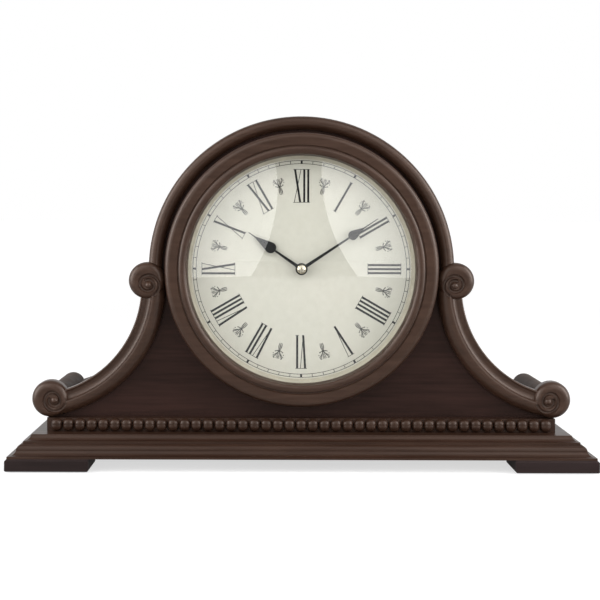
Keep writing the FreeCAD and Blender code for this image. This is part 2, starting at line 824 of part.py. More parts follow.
def spiral_groove(label, x, z, radius, top, side, turn_from):
    """A groove that winds in from near the rim in half turns, and the middle of the last one."""
    half_turns = []
    centre = Vector(0, 0, 0)
    out = Vector(across(1, turn_from) * side, along(1, turn_from), 0)
    spot = out * (radius.value * SPIRAL_SHARES[0])
    for share in SPIRAL_SHARES[1:]:
        inward = (centre - spot).normalize()
        reach = radius.value * share
        middle = spot + inward * reach
        start = math.degrees(math.atan2(-inward.y, -inward.x)) - (180 if side < 0 else 0)
        half_turn = Part.makeTorus(reach, S.groove_radius.value, Vector(0, 0, 0), Vector(0, 0, 1), -180,
                                   180, 180)
        half_turn.Placement = Placement(middle, Rotation(Vector(0, 0, 1), start))
        spot = middle + inward * reach
        half_turns += [half_turn, Part.makeSphere(S.groove_radius.value, spot)]
        centre = middle
    groove = doc.addObject("Part::Feature", label)
    groove.Shape = half_turns[0].fuse(half_turns[1:])
    return put(groove, x, panel_y - top, z, TO_FRONT), centre


def volute(label, x, z, radius, side, turn_from):
    """A bulging disc with a spiral groove and a round eye in the middle of its last turn."""
    rim = shares_of(VOLUTE_SHARES, radius, S.volute_thickness)
    disc = turned(label + "_disc", [(0, 0), (radius, 0)] + rim + [(0, S.volute_thickness * rim_height())],
                  x, panel_y, z)
    groove, centre = spiral_groove(label + "_groove", x, z, radius, S.volute_thickness * rim_height(), side,
                                   turn_from)
    eye_share, seat_share, top_share = EYE_SHARES
    eye_radius = radius * eye_share
    seat = S.volute_thickness * seat_share
    shoulder = S.volute_thickness * rim_height() * top_share
    middle = cap_middle(eye_radius, shoulder, S.volute_thickness - shoulder)
    eye = turned(label + "_eye", [(0, seat), (eye_radius, seat), (eye_radius, shoulder),
                                  middle + (0, S.volute_thickness)], x + centre.x, panel_y, z + centre.y)
    return disc, groove, eye


def rim_height():
    return VOLUTE_SHARES[-1][-1]


scroll_width = S.scroll_inner_radius - S.scroll_outer_radius
scroll_profile = [(S.scroll_inner_radius, 0), (S.scroll_outer_radius, 0)]
scroll_profile += shares_of(SCROLL_CHANNEL_SHARES + SCROLL_SLOPE_SHARES, scroll_width, S.scroll_thickness,
                            S.scroll_outer_radius, 0)
scroll_mouldings = []
volute_cutters = []
for side, side_name in ((-1, "left"), (1, "right")):
    centre_x = scroll_centre_x * side
    upper_reach = S.scroll_inner_radius - S.upper_volute_radius
    upper_x = (scroll_centre_x - across(upper_reach, UPPER_VOLUTE_ANGLE)) * side
    upper_z = scroll_centre_z + along(upper_reach, UPPER_VOLUTE_ANGLE)
    lower_reach = S.scroll_inner_radius - S.lower_volute_radius
    lower_x = (scroll_centre_x - across(lower_reach, LOWER_VOLUTE_ANGLE)) * side
    lower_z = scroll_centre_z - along(lower_reach, LOWER_VOLUTE_ANGLE)
    start = -LOWER_VOLUTE_ANGLE if side < 0 else 180 - UPPER_VOLUTE_ANGLE
    section = ring_section("scroll_section", scroll_profile, centre_x, scroll_centre_z, start)
    sweep = swung("scroll_sweep", section, centre_x, scroll_centre_z,
                  LOWER_VOLUTE_ANGLE + UPPER_VOLUTE_ANGLE)
    upper_disc, upper_groove, upper_eye = volute("upper_volute", upper_x, upper_z, S.upper_volute_radius,
                                                 -side, UPPER_SPIRAL_START)
    lower_disc, lower_groove, lower_eye = volute("lower_volute", lower_x, lower_z, S.lower_volute_radius,
                                                 side, LOWER_SPIRAL_START)
    whole = fuse("scroll_whole", sweep, upper_disc, lower_disc)
    grooved = cut("scroll_grooved", whole, upper_groove, lower_groove)
    scroll_mouldings.append(fuse(f"scroll_moulding_{side_name}", grooved, upper_eye, lower_eye))
    volute_cutters.append(rod("volute_space", upper_x, panel_y + S.overrun, upper_z,
                              S.upper_volute_radius, S.volute_thickness + S.overrun * 2, TO_FRONT))

arch_profile = [(arch_moulding_outer, 0), (arch_moulding_inner, 0)]
arch_profile += shares_of(ARCH_SHARES, S.arch_moulding_width, S.arch_moulding_thickness,
                          arch_moulding_inner, 0)
arch_section = ring_section("arch_section", arch_profile, 0, S.dial_height, 0)
arch_ring = swung("arch_ring", arch_section, 0, S.dial_height, 180)
arch_moulding = cut("arch_moulding", arch_ring, *volute_cutters)

# Bead moulding: a flat strip with a row of turned beads half sunk in it
strip_front = S.bead_strip_thickness
bead_count = int((2 * side_half_width.value - 2 * S.bead_end_margin.value) / S.bead_pitch.value) + 1
first_bead = -S.bead_pitch * (bead_count - 1) / 2
bead_body = new_body("bead_moulding", 0, panel_y, plinth_top)
strip_sketch = sketch_on(bead_body, "bead_strip", "XY_Plane")
draw(strip_sketch, rectangle(-side_half_width, -S.bead_strip_thickness, side_half_width, 0))
pad(bead_body, strip_sketch, S.bead_strip_height)
bead_sketch = sketch_on(bead_body, "bead_section", "XZ_Plane", strip_front)
bead_middle = S.bead_strip_height / 2
bead_rows = shares_of(BEAD_SHARES, S.bead_radius, S.bead_height, first_bead, bead_middle)
draw(bead_sketch, [(first_bead, bead_middle - S.bead_height / 2),
                   (first_bead, bead_middle + S.bead_height / 2)]
     + bead_rows)
bead = bead_body.newObject("PartDesign::Revolution", "bead")
bead.Profile = bead_sketch
bead_axis = bead_sketch.addGeometry(Part.LineSegment(Vector(first_bead.value, 0, 0),
                                                     Vector(first_bead.value, 1, 0)), True)
for place, level in ((1, 0), (2, bead_middle)):
    dimension(bead_sketch, "DistanceX", bead_axis, place, first_bead)
    dimension(bead_sketch, "DistanceY", bead_axis, place, level)
bead.ReferenceAxis = (bead_sketch, ["Axis0"])
bead.Angle = 360
bead_body.Tip = bead
beads = bead_body.newObject("PartDesign::LinearPattern", "beads")
beads.Originals = [bead]
beads.Direction = (strip_sketch, ["H_Axis"])
bind(beads, Length=S.bead_pitch * (bead_count - 1))
beads.Occurrences = bead_count
bead_body.Tip = beads


# Bezel, glass and dial on the dial's axis

def on_dial(label, corners):
    return turned(label, corners, 0, panel_y, S.dial_height)


rebate_radius = sight_radius + S.bezel_rebate
seat_radius = rebate_radius - S.rebate_clearance
bezel_profile = [(bezel_radius, 0), (rebate_radius, 0), (rebate_radius, S.lip_back),
                 (sight_radius, S.lip_back)]
bezel_profile += shares_of(BEZEL_SHARES, bezel_radius - sight_radius, S.bezel_thickness, sight_radius, 0)
bezel_ring = on_dial("bezel_ring", bezel_profile)

glass_back = S.lip_back - S.glass_thickness
dome_radius = seat_radius - S.glass_flange
crown = S.lip_back + S.glass_crown
outer_middle = cap_middle(dome_radius, S.lip_back, S.glass_crown)
inner_middle = cap_middle(dome_radius, glass_back, S.glass_crown)
dome_glass = on_dial("dome_glass", [(0, crown), outer_middle + (dome_radius, S.lip_back),
                                    (seat_radius, S.lip_back), (seat_radius, glass_back),
                                    (dome_radius, glass_back), inner_middle + (0, crown - S.glass_thickness)])

sight_ring = on_dial("sight_ring", [(sight_ring_radius, S.dial_thickness), (seat_radius, S.dial_thickness),
                                    (seat_radius, glass_back), (sight_radius + S.rebate_clearance,
                                                                glass_back)])

dial_plate = plate("dial_plate", None, 0, S.dial_thickness,
                   ((0, 0, seat_radius), (0, 0, S.dial_hole_radius)), 0, panel_y, S.dial_height)


# Hands

def hand(label, ahead, length, point_length, neck_reach, drop_radius, hub_radius, shaft_width, bore_radius,
         degrees):
    """A pear hand: a round hub, a slim shaft, a round drop, a neck and a needle point."""
    drop_distance = length - point_length
    hub = rod(label + "_hub", 0, 0, 0, hub_radius, S.hand_thickness)
    drop = rod(label + "_drop", 0, drop_distance, 0, drop_radius, S.hand_thickness)
    sine = drop_radius / neck_reach
    cosine = root(1 - sine * sine)
    tangent_y = drop_distance + drop_radius * sine
    tangent_x = drop_radius * cosine
    neck = S.hand_neck_width / 2
    neck_y = drop_distance + neck_reach
    tip = S.hand_tip_width / 2
    point = plate(label + "_point", [(-tangent_x, tangent_y), (-neck, neck_y), (-tip, length), (tip, length),
                                     (neck, neck_y), (tangent_x, tangent_y)], 0, S.hand_thickness,
                  rotation=UPRIGHT)
    waist = shaft_width / 2 * HAND_WAIST_SHARE
    shaft = plate(label + "_shaft", [(-shaft_width / 2, 0), (-waist, drop_distance), (waist, drop_distance),
                                     (shaft_width / 2, 0)], 0, S.hand_thickness, rotation=UPRIGHT)
    whole = fuse(label + "_whole", hub, drop, point, shaft)
    bore = rod(label + "_bore", 0, 0, -S.overrun, bore_radius, S.hand_thickness + S.overrun * 2)
    piece = cut(label, whole, bore)
    return put(piece, 0, panel_y - ahead, S.dial_height,
               TO_FRONT.multiply(Rotation(Vector(0, 0, 1), -degrees)))


minute_hand_length = sight_ring_radius - S.minute_hand_margin
hour_hand_length = minute_hand_length - S.hour_hand_margin
hour_hand = hand("hour_hand", S.hour_hand_ahead, hour_hand_length, S.hour_point_length, S.hour_neck_reach,
                 S.hour_drop_radius, S.hour_hub_radius, S.hour_shaft_width, S.pipe_radius, HOUR_HAND_ANGLE)
minute_hand = hand("minute_hand", S.minute_hand_ahead, minute_hand_length, S.minute_point_length,
                   S.minute_neck_reach, S.minute_drop_radius, S.minute_hub_radius, S.minute_shaft_width,
                   S.arbor_radius, MINUTE_HAND_ANGLE)
nut_seat = S.minute_hand_ahead + S.hand_thickness
nut_top = nut_seat + S.hand_nut_height
arbor_tip = nut_top - S.hand_nut_dome
nut_middle = cap_middle(S.hand_nut_radius, arbor_tip, S.hand_nut_dome)
hand_nut = on_dial("hand_nut", [(S.arbor_radius, nut_seat), (S.hand_nut_radius, nut_seat),
                                (S.hand_nut_radius, arbor_tip), nut_middle + (0, nut_top),
                                (0, arbor_tip), (S.arbor_radius, arbor_tip)])


# Movement housing, in the dial's own frame: x to the right, y up, height ahead

def movement_body(label):
    return new_body(label, 0, panel_y, S.dial_height, TO_FRONT)


def movement_rod(label, x, y, bottom, radius, length):
    return rod(label, x, panel_y - bottom, S.dial_height + y, radius, length, TO_FRONT)


def centre_distance(first, second, module):
    return module * ((first + second) / 2)


centre_spacing = centre_distance(WHEEL_TEETH["cannon"], WHEEL_TEETH["motion"], S.motion_module)
hour_module = centre_spacing * 2 / (WHEEL_TEETH["motion_pinion"] + WHEEL_TEETH["hour"])
third_spacing = centre_distance(TRAIN_TEETH["centre"], TRAIN_TEETH["third_pinion"], S.centre_module)
seconds_spacing = centre_distance(TRAIN_TEETH["third"], TRAIN_TEETH["seconds_pinion"], S.third_module)
intermediate_spacing = centre_distance(TRAIN_TEETH["seconds"], TRAIN_TEETH["intermediate_pinion"],
                                       S.seconds_module)
rotor_spacing = centre_distance(TRAIN_TEETH["intermediate"], TRAIN_TEETH["rotor_pinion"], S.rotor_module)


def stepped(place, spacing, degrees):
    return (place[0] + across(spacing, degrees), place[1] + along(spacing, degrees))


centre = (0, 0)
motion_axis = stepped(centre, centre_spacing, MOTION_DIRECTION)
setting_axis = stepped(motion_axis, centre_spacing, SETTING_DIRECTION)
third_axis = stepped(centre, third_spacing, THIRD_DIRECTION)
seconds_axis = stepped(third_axis, seconds_spacing, SECONDS_DIRECTION)
intermediate_axis = stepped(seconds_axis, intermediate_spacing, INTERMEDIATE_DIRECTION)
rotor_axis = stepped(intermediate_axis, rotor_spacing, ROTOR_DIRECTION)

# Wheel layers, from the dial side back, each below the last
layer = S.wheel_thickness + S.layer_gap
hour_level = front_wall_inner - S.bushing_flange_thickness - layer
motion_level = hour_level - layer - S.layer_gap
centre_level = motion_level - layer * 2
third_level = centre_level - layer * 2 - S.layer_gap
seconds_level = third_level - layer * 2 - S.layer_gap
intermediate_level = seconds_level - layer * 2
rotor_level = intermediate_level - S.layer_gap * 3 - S.rotor_height

back_body = movement_body("movement_back_body")
outline = sketch_on(back_body, "back_outline", "XY_Plane", movement_back)
draw(outline, rectangle(-S.movement_half_width, -S.movement_drop, S.movement_half_width, S.movement_rise))
pad(back_body, outline, S.movement_depth - S.front_case_depth)
cavity = sketch_on(back_body, "back_cavity", "XY_Plane", case_split)
inner_half = S.movement_half_width - S.case_wall
cavity_bottom = -(S.bay_top_drop - S.case_wall)
draw(cavity, rectangle(-inner_half, cavity_bottom, inner_half, S.movement_rise - S.case_wall))
pocket(back_body, cavity, case_split - back_wall_inner)
bay = sketch_on(back_body, "battery_bay", "XY_Plane", movement_back)
draw(bay, rectangle(-S.bay_half_width, -(S.movement_drop - S.case_wall), S.bay_half_width, -S.bay_top_drop))
pocket(back_body, bay, S.movement_depth - S.front_case_depth - S.bay_floor, False)
for side in (-1, 1):
    void = sketch_on(back_body, "side_void", "XY_Plane", case_split)
    inside = S.bay_half_width + S.case_wall
    left = inside if side > 0 else -inner_half
    right = inner_half if side > 0 else -inside
    draw(void, rectangle(left, -(S.movement_drop - S.case_wall), right, cavity_bottom - S.case_wall))
    pocket(back_body, void, case_split - back_wall_inner)

back_posts = []
for label, place, level in (("third_post", third_axis, centre_level),
                            ("seconds_post", seconds_axis, third_level),
                            ("intermediate_post", intermediate_axis, seconds_level),
                            ("rotor_post", rotor_axis, intermediate_level)):
    top = level + S.wheel_thickness + S.pinion_extra * 2
    back_posts.append(movement_rod(label, place[0], place[1], back_wall_inner, S.post_radius,
                                   top - back_wall_inner))
board_middle = (S.board_left + S.board_width / 2, S.board_height / 2 - S.board_bottom)
for share in STANDOFF_SHARES:
    back_posts.append(movement_rod("standoff", board_middle[0], board_middle[1] + S.board_height * share,
                                   back_wall_inner, S.standoff_radius, S.board_standoff))
setting_hole = movement_rod("setting_hole", setting_axis[0], setting_axis[1], movement_back - S.overrun,
                            S.setting_shaft_radius + S.running_clearance, S.case_wall + S.overrun * 2)
rear_bearing = movement_rod("rear_bearing", 0, 0, back_wall_inner - S.case_wall / 2,
                            S.rear_arbor_radius + S.running_clearance, S.case_wall / 2 + S.overrun)
slot_length = S.slider_stem + S.slider_travel + S.slider_clearance * 2
slots = []
for rise in (S.volume_slider_rise, S.chime_selector_rise):
    slots.append(box("slider_slot", S.slider_x - S.slider_stem / 2 - S.slider_clearance,
                     panel_y - back_wall_inner - S.overrun,
                     S.dial_height + rise - S.slider_stem / 2 - S.slider_clearance, slot_length,
                     S.case_wall + S.overrun * 2, S.slider_stem + S.slider_clearance * 2))
holed = cut("back_holed", back_body, setting_hole, rear_bearing, *slots)
movement_back_case = fuse("movement_back_case", holed, *back_posts)

front_body = movement_body("movement_front_body")
outline = sketch_on(front_body, "front_outline", "XY_Plane", case_split)
draw(outline, rectangle(-S.movement_half_width, -S.movement_drop, S.movement_half_width, S.movement_rise))
front_pad = pad(front_body, outline, S.front_case_depth)
doc.recompute()
front_edges = [f"Edge{n}" for n, edge in enumerate(front_pad.Shape.Edges, start=1)
               if edge.BoundBox.ZMin > front_pad.Shape.BoundBox.ZMax - S.case_edge_round.value / 2]
rounding = front_body.newObject("PartDesign::Fillet", "front_rounding")
rounding.Base = (front_pad, front_edges)
bind(rounding, Radius=S.case_edge_round)
front_body.Tip = rounding
cavity = sketch_on(front_body, "front_cavity", "XY_Plane", case_split)
draw(cavity, rectangle(-inner_half, -(S.movement_drop - S.case_wall), inner_half,
                       S.movement_rise - S.case_wall))
pocket(front_body, cavity, S.front_case_depth - S.case_wall, False)
bushing_hole = movement_rod("bushing_hole", 0, 0, front_wall_inner - S.overrun,
                            S.bushing_radius + S.running_clearance, S.case_wall + S.overrun * 2)
setting_bearing = movement_rod("setting_bearing", setting_axis[0], setting_axis[1],
                               front_wall_inner - S.overrun,
                               S.rear_arbor_radius + S.running_clearance, S.case_wall / 2 + S.overrun)
front_holed = cut("front_holed", front_body, bushing_hole, setting_bearing)
motion_post_bottom = motion_level - S.pinion_extra
motion_post = movement_rod("motion_post", motion_axis[0], motion_axis[1], motion_post_bottom,
                           S.motion_post_radius,
                           front_wall_inner - motion_post_bottom)
movement_front_case = fuse("movement_front_case", front_holed, motion_post)

rubber_washer = on_dial("rubber_washer", [(S.bushing_radius + S.running_clearance, movement_front),
                                          (S.washer_radius, movement_front),
                                          (S.washer_radius, movement_front + S.washer_thickness),
                                          (S.bushing_radius + S.running_clearance,
                                           movement_front + S.washer_thickness)])
bushing_bottom = front_wall_inner - S.bushing_flange_thickness
pipe_bore = S.pipe_radius + S.running_clearance
shaft_bushing = on_dial("shaft_bushing", [(pipe_bore, bushing_bottom),
                                          (S.bushing_flange_radius, bushing_bottom),
                                          (S.bushing_flange_radius, front_wall_inner),
                                          (S.bushing_radius, front_wall_inner),
                                          (S.bushing_radius, -S.bushing_end_gap),
                                          (pipe_bore, -S.bushing_end_gap)])
nut_corner = S.nut_flats_radius / math.cos(math.radians(30))
nut_corners = [(across(nut_corner, 60 * n + 30), along(nut_corner, 60 * n + 30)) for n in range(6)]
nut_corners = [(0 if number % 3 == 1 else x, y) for number, (x, y) in enumerate(nut_corners)]
bushing_nut = plate("bushing_nut", nut_corners, -S.counterbore_depth, S.nut_thickness,
                    ((0, 0, S.bushing_radius),), 0, panel_y, S.dial_height)


# Wheels

def involute(angle):
    return math.tan(angle) - angle


def gear_prism(teeth, module, phase, tooth_share, bottom, thickness):
    """A spur gear with one tooth centred on the phase angle."""
    module = float(module)
    pitch_radius = teeth * module / 2
    pressure = math.radians(PRESSURE_ANGLE)
    base_radius = pitch_radius * math.cos(pressure)
    root_radius = pitch_radius - DEDENDUM_SHARE * module
    tip_radius = pitch_radius + ADDENDUM_SHARE * module
    half_pitch_angle = math.pi * tooth_share / teeth

    def half_angle(radius):
        if radius <= base_radius:
            return half_pitch_angle + involute(pressure)
        return half_pitch_angle + involute(pressure) - involute(math.acos(base_radius / radius))

    flank = [(radius, half_angle(radius)) for radius in (root_radius, pitch_radius, tip_radius)]
    spots = []
    for tooth in range(teeth):
        middle = math.radians(phase) + 2 * math.pi * tooth / teeth
        for radius, half in flank:
            spots.append(Vector(radius * math.cos(middle - half), radius * math.sin(middle - half),
                                float(bottom)))
        for radius, half in reversed(flank):
            spots.append(Vector(radius * math.cos(middle + half), radius * math.sin(middle + half),
                                float(bottom)))
    spots.append(spots[0])
    return Part.Face(Part.makePolygon(spots)).extrude(Vector(0, 0, float(thickness)))


def disc(radius, bottom, length):
    return Part.makeCylinder(float(radius), float(length), Vector(0, 0, float(bottom)))


def meshed_phase(teeth, phase, other_teeth, direction):
    """The other gear's phase that meshes with this one, which lies back along the direction."""
    pitch = 360.0 / teeth
    other_pitch = 360.0 / other_teeth
    offset = ((direction - phase) / pitch) % 1.0
    return direction + 180.0 + (offset + 0.5) * other_pitch


def wheel(label, place, solids, bore):
    """Fuses the solids and bores them, then stands the piece on its axis in the movement."""
    whole = solids[0].fuse(solids[1:]) if len(solids) > 1 else solids[0]
    if bore is not None:
        whole = whole.cut(disc(bore, movement_back, S.movement_depth * 2))
    piece = doc.addObject("Part::Feature", label)
    piece.Shape = whole.removeSplitter()
    return put(piece, place[0], panel_y, S.dial_height + place[1], TO_FRONT)


def pinion_and_wheel(label, place, teeth, module, phase, level, pinion_teeth, pinion_module, pinion_phase,
                     pinion_bottom, pinion_length, hub, bore):
    """A wheel with its pinion above, on one hub that runs on a post."""
    wheel_solid = gear_prism(teeth, module, phase, WHEEL_TOOTH_SHARE, level, S.wheel_thickness)
    pinion = gear_prism(pinion_teeth, pinion_module, pinion_phase, PINION_TOOTH_SHARE, pinion_bottom,
                        pinion_length)
    solids = [wheel_solid, pinion]
    if hub is not None:
        solids.append(disc(hub, level, pinion_bottom - level))
    return wheel(label, place, solids, bore)


pinion_length = S.wheel_thickness + S.pinion_extra * 2
post_bore = S.post_radius + S.running_clearance
cannon_phase = 0.0
motion_phase = meshed_phase(WHEEL_TEETH["cannon"], cannon_phase, WHEEL_TEETH["motion"], MOTION_DIRECTION)
setting_phase = meshed_phase(WHEEL_TEETH["motion"], motion_phase, WHEEL_TEETH["setting"], SETTING_DIRECTION)
motion_pinion_phase = 0.0
hour_phase = meshed_phase(WHEEL_TEETH["motion_pinion"], motion_pinion_phase, WHEEL_TEETH["hour"],
                          MOTION_DIRECTION + 180)
cannon_bottom = motion_level - S.pinion_extra
minute_arbor = wheel("minute_arbor", centre, [
    disc(S.arbor_radius, centre_level + S.wheel_thickness + S.layer_gap,
         arbor_tip - centre_level - S.wheel_thickness - S.layer_gap),
    disc(S.rear_arbor_radius, back_wall_inner - S.case_wall / 2 + S.running_clearance,
         centre_level + S.wheel_thickness + S.layer_gap - back_wall_inner + S.case_wall / 2),
    gear_prism(WHEEL_TEETH["cannon"], S.motion_module, cannon_phase, PINION_TOOTH_SHARE, cannon_bottom,
               pinion_length)], None)
hour_wheel = wheel("hour_wheel", centre, [
    gear_prism(WHEEL_TEETH["hour"], hour_module, hour_phase, WHEEL_TOOTH_SHARE, hour_level,
               S.wheel_thickness),
    disc(S.pipe_radius, hour_level, S.hour_hand_ahead + S.hand_thickness * 2 - hour_level)],
    S.arbor_radius + S.running_clearance)
motion_wheel = pinion_and_wheel("motion_wheel", motion_axis, WHEEL_TEETH["motion"], S.motion_module,
                                motion_phase,
                                motion_level, WHEEL_TEETH["motion_pinion"], hour_module, motion_pinion_phase,
                                motion_level + S.wheel_thickness, layer + S.layer_gap + S.pinion_extra, None,
                                S.motion_post_radius + S.running_clearance)
centre_phase = 0.0
third_pinion_phase = meshed_phase(TRAIN_TEETH["centre"], centre_phase, TRAIN_TEETH["third_pinion"],
                                  THIRD_DIRECTION)
third_phase = 0.0
seconds_pinion_phase = meshed_phase(TRAIN_TEETH["third"], third_phase, TRAIN_TEETH["seconds_pinion"],
                                    SECONDS_DIRECTION)
seconds_phase = 0.0
intermediate_pinion_phase = meshed_phase(TRAIN_TEETH["seconds"], seconds_phase,
                                         TRAIN_TEETH["intermediate_pinion"], INTERMEDIATE_DIRECTION)
intermediate_phase = 0.0
rotor_phase = meshed_phase(TRAIN_TEETH["intermediate"], intermediate_phase, TRAIN_TEETH["rotor_pinion"],
                           ROTOR_DIRECTION)
centre_wheel = wheel("centre_wheel", centre, [
    gear_prism(TRAIN_TEETH["centre"], S.centre_module, centre_phase, WHEEL_TOOTH_SHARE, centre_level,
               S.wheel_thickness),
    disc(S.pipe_radius, centre_level - S.wheel_thickness, S.wheel_thickness)],
    S.rear_arbor_radius + S.running_clearance)
third_wheel = pinion_and_wheel("third_wheel", third_axis, TRAIN_TEETH["third"], S.third_module, third_phase,
                               third_level, TRAIN_TEETH["third_pinion"], S.centre_module, third_pinion_phase,
                               centre_level - S.pinion_extra, pinion_length, S.hub_radius, post_bore)
seconds_wheel = pinion_and_wheel("seconds_wheel", seconds_axis, TRAIN_TEETH["seconds"], S.seconds_module,
                                 seconds_phase, seconds_level, TRAIN_TEETH["seconds_pinion"], S.third_module,
                                 seconds_pinion_phase, third_level - S.pinion_extra, pinion_length,
                                 S.hub_radius, post_bore)
intermediate_wheel = pinion_and_wheel("intermediate_wheel", intermediate_axis, TRAIN_TEETH["intermediate"],
                                      S.rotor_module, intermediate_phase, intermediate_level,
                                      TRAIN_TEETH["intermediate_pinion"], S.seconds_module,
                                      intermediate_pinion_phase, seconds_level - S.pinion_extra,
                                      pinion_length,
                                      S.hub_radius, post_bore)
rotor = wheel("rotor", rotor_axis, [
    disc(S.rotor_radius, rotor_level, S.rotor_height),
    disc(S.hub_radius, rotor_level + S.rotor_height,
         intermediate_level - S.pinion_extra - rotor_level - S.rotor_height),
    gear_prism(TRAIN_TEETH["rotor_pinion"], S.rotor_module, rotor_phase, PINION_TOOTH_SHARE,
               intermediate_level - S.pinion_extra, pinion_length)], post_bore)

knob_bottom = movement_back - S.knob_gap - S.knob_height
setting_level = motion_level - S.pinion_extra
knob_flutes = [Part.makeCylinder(float(S.knob_flute_radius), float(S.knob_height),
                                 Vector(S.knob_radius.value * math.cos(2 * math.pi * n / KNOB_FLUTES),
                                        S.knob_radius.value * math.sin(2 * math.pi * n / KNOB_FLUTES),
                                        knob_bottom.value)) for n in range(KNOB_FLUTES)]
knob_head = disc(S.knob_radius, knob_bottom, S.knob_height).cut(knob_flutes)
setting_knob = wheel("setting_knob", setting_axis, [
    knob_head,
    disc(S.setting_shaft_radius, knob_bottom + S.knob_height, setting_level - knob_bottom - S.knob_height),
    gear_prism(WHEEL_TEETH["setting"], S.motion_module, setting_phase, PINION_TOOTH_SHARE, setting_level,
               pinion_length),
    disc(S.rear_arbor_radius, setting_level + pinion_length,
         front_wall_inner + S.case_wall / 2 - S.running_clearance - setting_level - pinion_length)], None)


# Stator, coil and circuit

stator_bottom = rotor_level + (S.rotor_height - S.stator_thickness) / 2
stator_hole = S.rotor_radius + S.stator_gap
stator_half = stator_hole + S.stator_margin
stator_y = panel_y - stator_bottom - S.stator_thickness
stator_lower = box("stator_lower", -S.stator_left, stator_y, S.dial_height + rotor_axis[1] - stator_half,
                   rotor_axis[0] + stator_half + S.stator_left, S.stator_thickness, stator_half * 2)
core_middle = -S.stator_left + S.core_width / 2
core_leg = box("core_leg", core_middle - S.core_neck / 2, stator_y, S.dial_height + rotor_axis[1],
               S.core_neck, S.stator_thickness, S.core_top - rotor_axis[1])
core_cap = box("core_cap", -S.stator_left, stator_y, S.dial_height + S.core_top,
               S.core_width, S.stator_thickness, S.core_neck)
stator_whole = fuse("stator_whole", stator_lower, core_leg, core_cap)
stator = cut("stator", stator_whole, movement_rod("rotor_space", rotor_axis[0], rotor_axis[1],
                                                  stator_bottom - S.overrun, stator_hole,
                                                  S.stator_thickness + S.overrun * 2))
coil_y = panel_y - stator_bottom - S.stator_thickness / 2
coil_blank = rod("coil_blank", core_middle, coil_y, S.dial_height + S.coil_bottom, S.coil_radius,
                 S.coil_length)
coil_space = box("coil_space", core_middle - S.core_neck / 2, stator_y,
                 S.dial_height + S.coil_bottom - S.overrun,
                 S.core_neck, S.stator_thickness, S.coil_length + S.overrun * 2)
coil = cut("coil", coil_blank, coil_space)

board_bottom_level = back_wall_inner + S.board_standoff
board_y = panel_y - board_bottom_level - S.board_thickness
bare_board = box("bare_board", S.board_left, board_y, S.dial_height - S.board_bottom, S.board_width,
                 S.board_thickness, S.board_height)
chip = movement_rod("chip", board_middle[0], board_middle[1], board_bottom_level + S.board_thickness,
                    S.chip_radius, S.chip_height)
crystal_z = S.dial_height + board_middle[1] + S.chip_radius * 1.5
crystal = rod("crystal", board_middle[0], board_y - S.crystal_radius / 2, crystal_z, S.crystal_radius,
              S.crystal_length)
circuit_board = fuse("circuit_board", bare_board, chip, crystal)

# Batteries and their contacts
battery_level = movement_back + S.battery_radius + S.battery_gap / 2
battery_y = panel_y - battery_level
battery_rows = [-(S.bay_top_drop + S.battery_gap + S.battery_radius),
                -(S.bay_top_drop + S.battery_gap * 2 + S.battery_radius * 3)]
battery_parts = []
contact_parts = []
for number, drop in enumerate(battery_rows):
    turned_about = 1 if number == 0 else -1
    body_x = -(S.battery_length + S.battery_nub_length) / 2
    nub_x = body_x + S.battery_length
    if turned_about < 0:
        nub_x = body_x
        body_x = body_x + S.battery_nub_length
    can = rod("battery_can", body_x, battery_y, S.dial_height + drop, S.battery_radius, S.battery_length,
              TO_RIGHT)
    nub = rod("battery_nub", nub_x, battery_y, S.dial_height + drop, S.battery_nub_radius,
              S.battery_nub_length,
              TO_RIGHT)
    battery_parts.append(fuse("battery", can, nub))
    for side in (-1, 1):
        wall_x = S.bay_half_width * side
        reach = S.bay_half_width - (S.battery_length + S.battery_nub_length) / 2
        x = wall_x - reach if side > 0 else wall_x
        contact_parts.append(box("contact", x, battery_y - S.contact_width / 2, S.dial_height + drop
                                 - S.contact_width / 2, reach, S.contact_width, S.contact_width))
batteries = group("batteries", *battery_parts)
battery_contacts = group("battery_contacts", *contact_parts)


# Slide controls: a button outside, a stem through the slot and a foot inside
def slider(label, rise):
    z = S.dial_height + rise
    button = box(label + "_button", S.slider_x - S.slider_length / 2,
                 panel_y - movement_back + S.slider_clearance,
                 z - S.slider_width / 2, S.slider_length, S.slider_height, S.slider_width)
    stem = box(label + "_stem", S.slider_x - S.slider_stem / 2,
               panel_y - back_wall_inner - S.slider_clearance * 2,
               z - S.slider_stem / 2, S.slider_stem, S.case_wall + S.slider_clearance * 4, S.slider_stem)
    foot = box(label + "_foot", S.slider_x - S.slider_length / 2,
               panel_y - back_wall_inner - S.slider_clearance - S.leaf_thickness, z - S.slider_width / 2,
               S.slider_length, S.leaf_thickness, S.slider_width)
    return fuse(label, button, stem, foot)


volume_slider = slider("volume_slider", S.volume_slider_rise)
chime_selector = slider("chime_selector", S.chime_selector_rise)


# Back panel and door

back_blank = case_outline("back", panel_back_inner, S.back_panel_thickness, arch_inner, shell_inner,
                          side_half_width - S.roll_radius, plinth_top)
door_bottom = S.dial_height - S.door_drop
door_height = S.door_drop + S.door_rise
door_middle_z = door_bottom + door_height / 2
door_space = box("door_space", -S.door_half_width, panel_back_inner - S.overrun, door_bottom,
                 S.door_half_width * 2, S.back_panel_thickness + S.overrun * 2, door_height)
back_holes = [screw_hole("back_hole", x, panel_back_outer, z, *back_screw_sizes) for x,
              z in back_screw_places]
speaker_x = S.door_half_width + S.speaker_door_gap + S.speaker_radius
speaker_z = plinth_top + S.speaker_rise
grille_holes = []
for ring, count in ((0, 1), (1, 6), (2, 12)):
    for n in range(count):
        angle = 360.0 * n / count
        grille_holes.append(rod("grille_hole", speaker_x + across(S.grille_pitch * ring, angle),
                                panel_back_inner - S.overrun, speaker_z + along(S.grille_pitch * ring, angle),
                                S.grille_hole_radius, S.back_panel_thickness + S.overrun * 2, TO_BACK))
speaker_screw_ring = S.speaker_radius - S.speaker_flange / 2
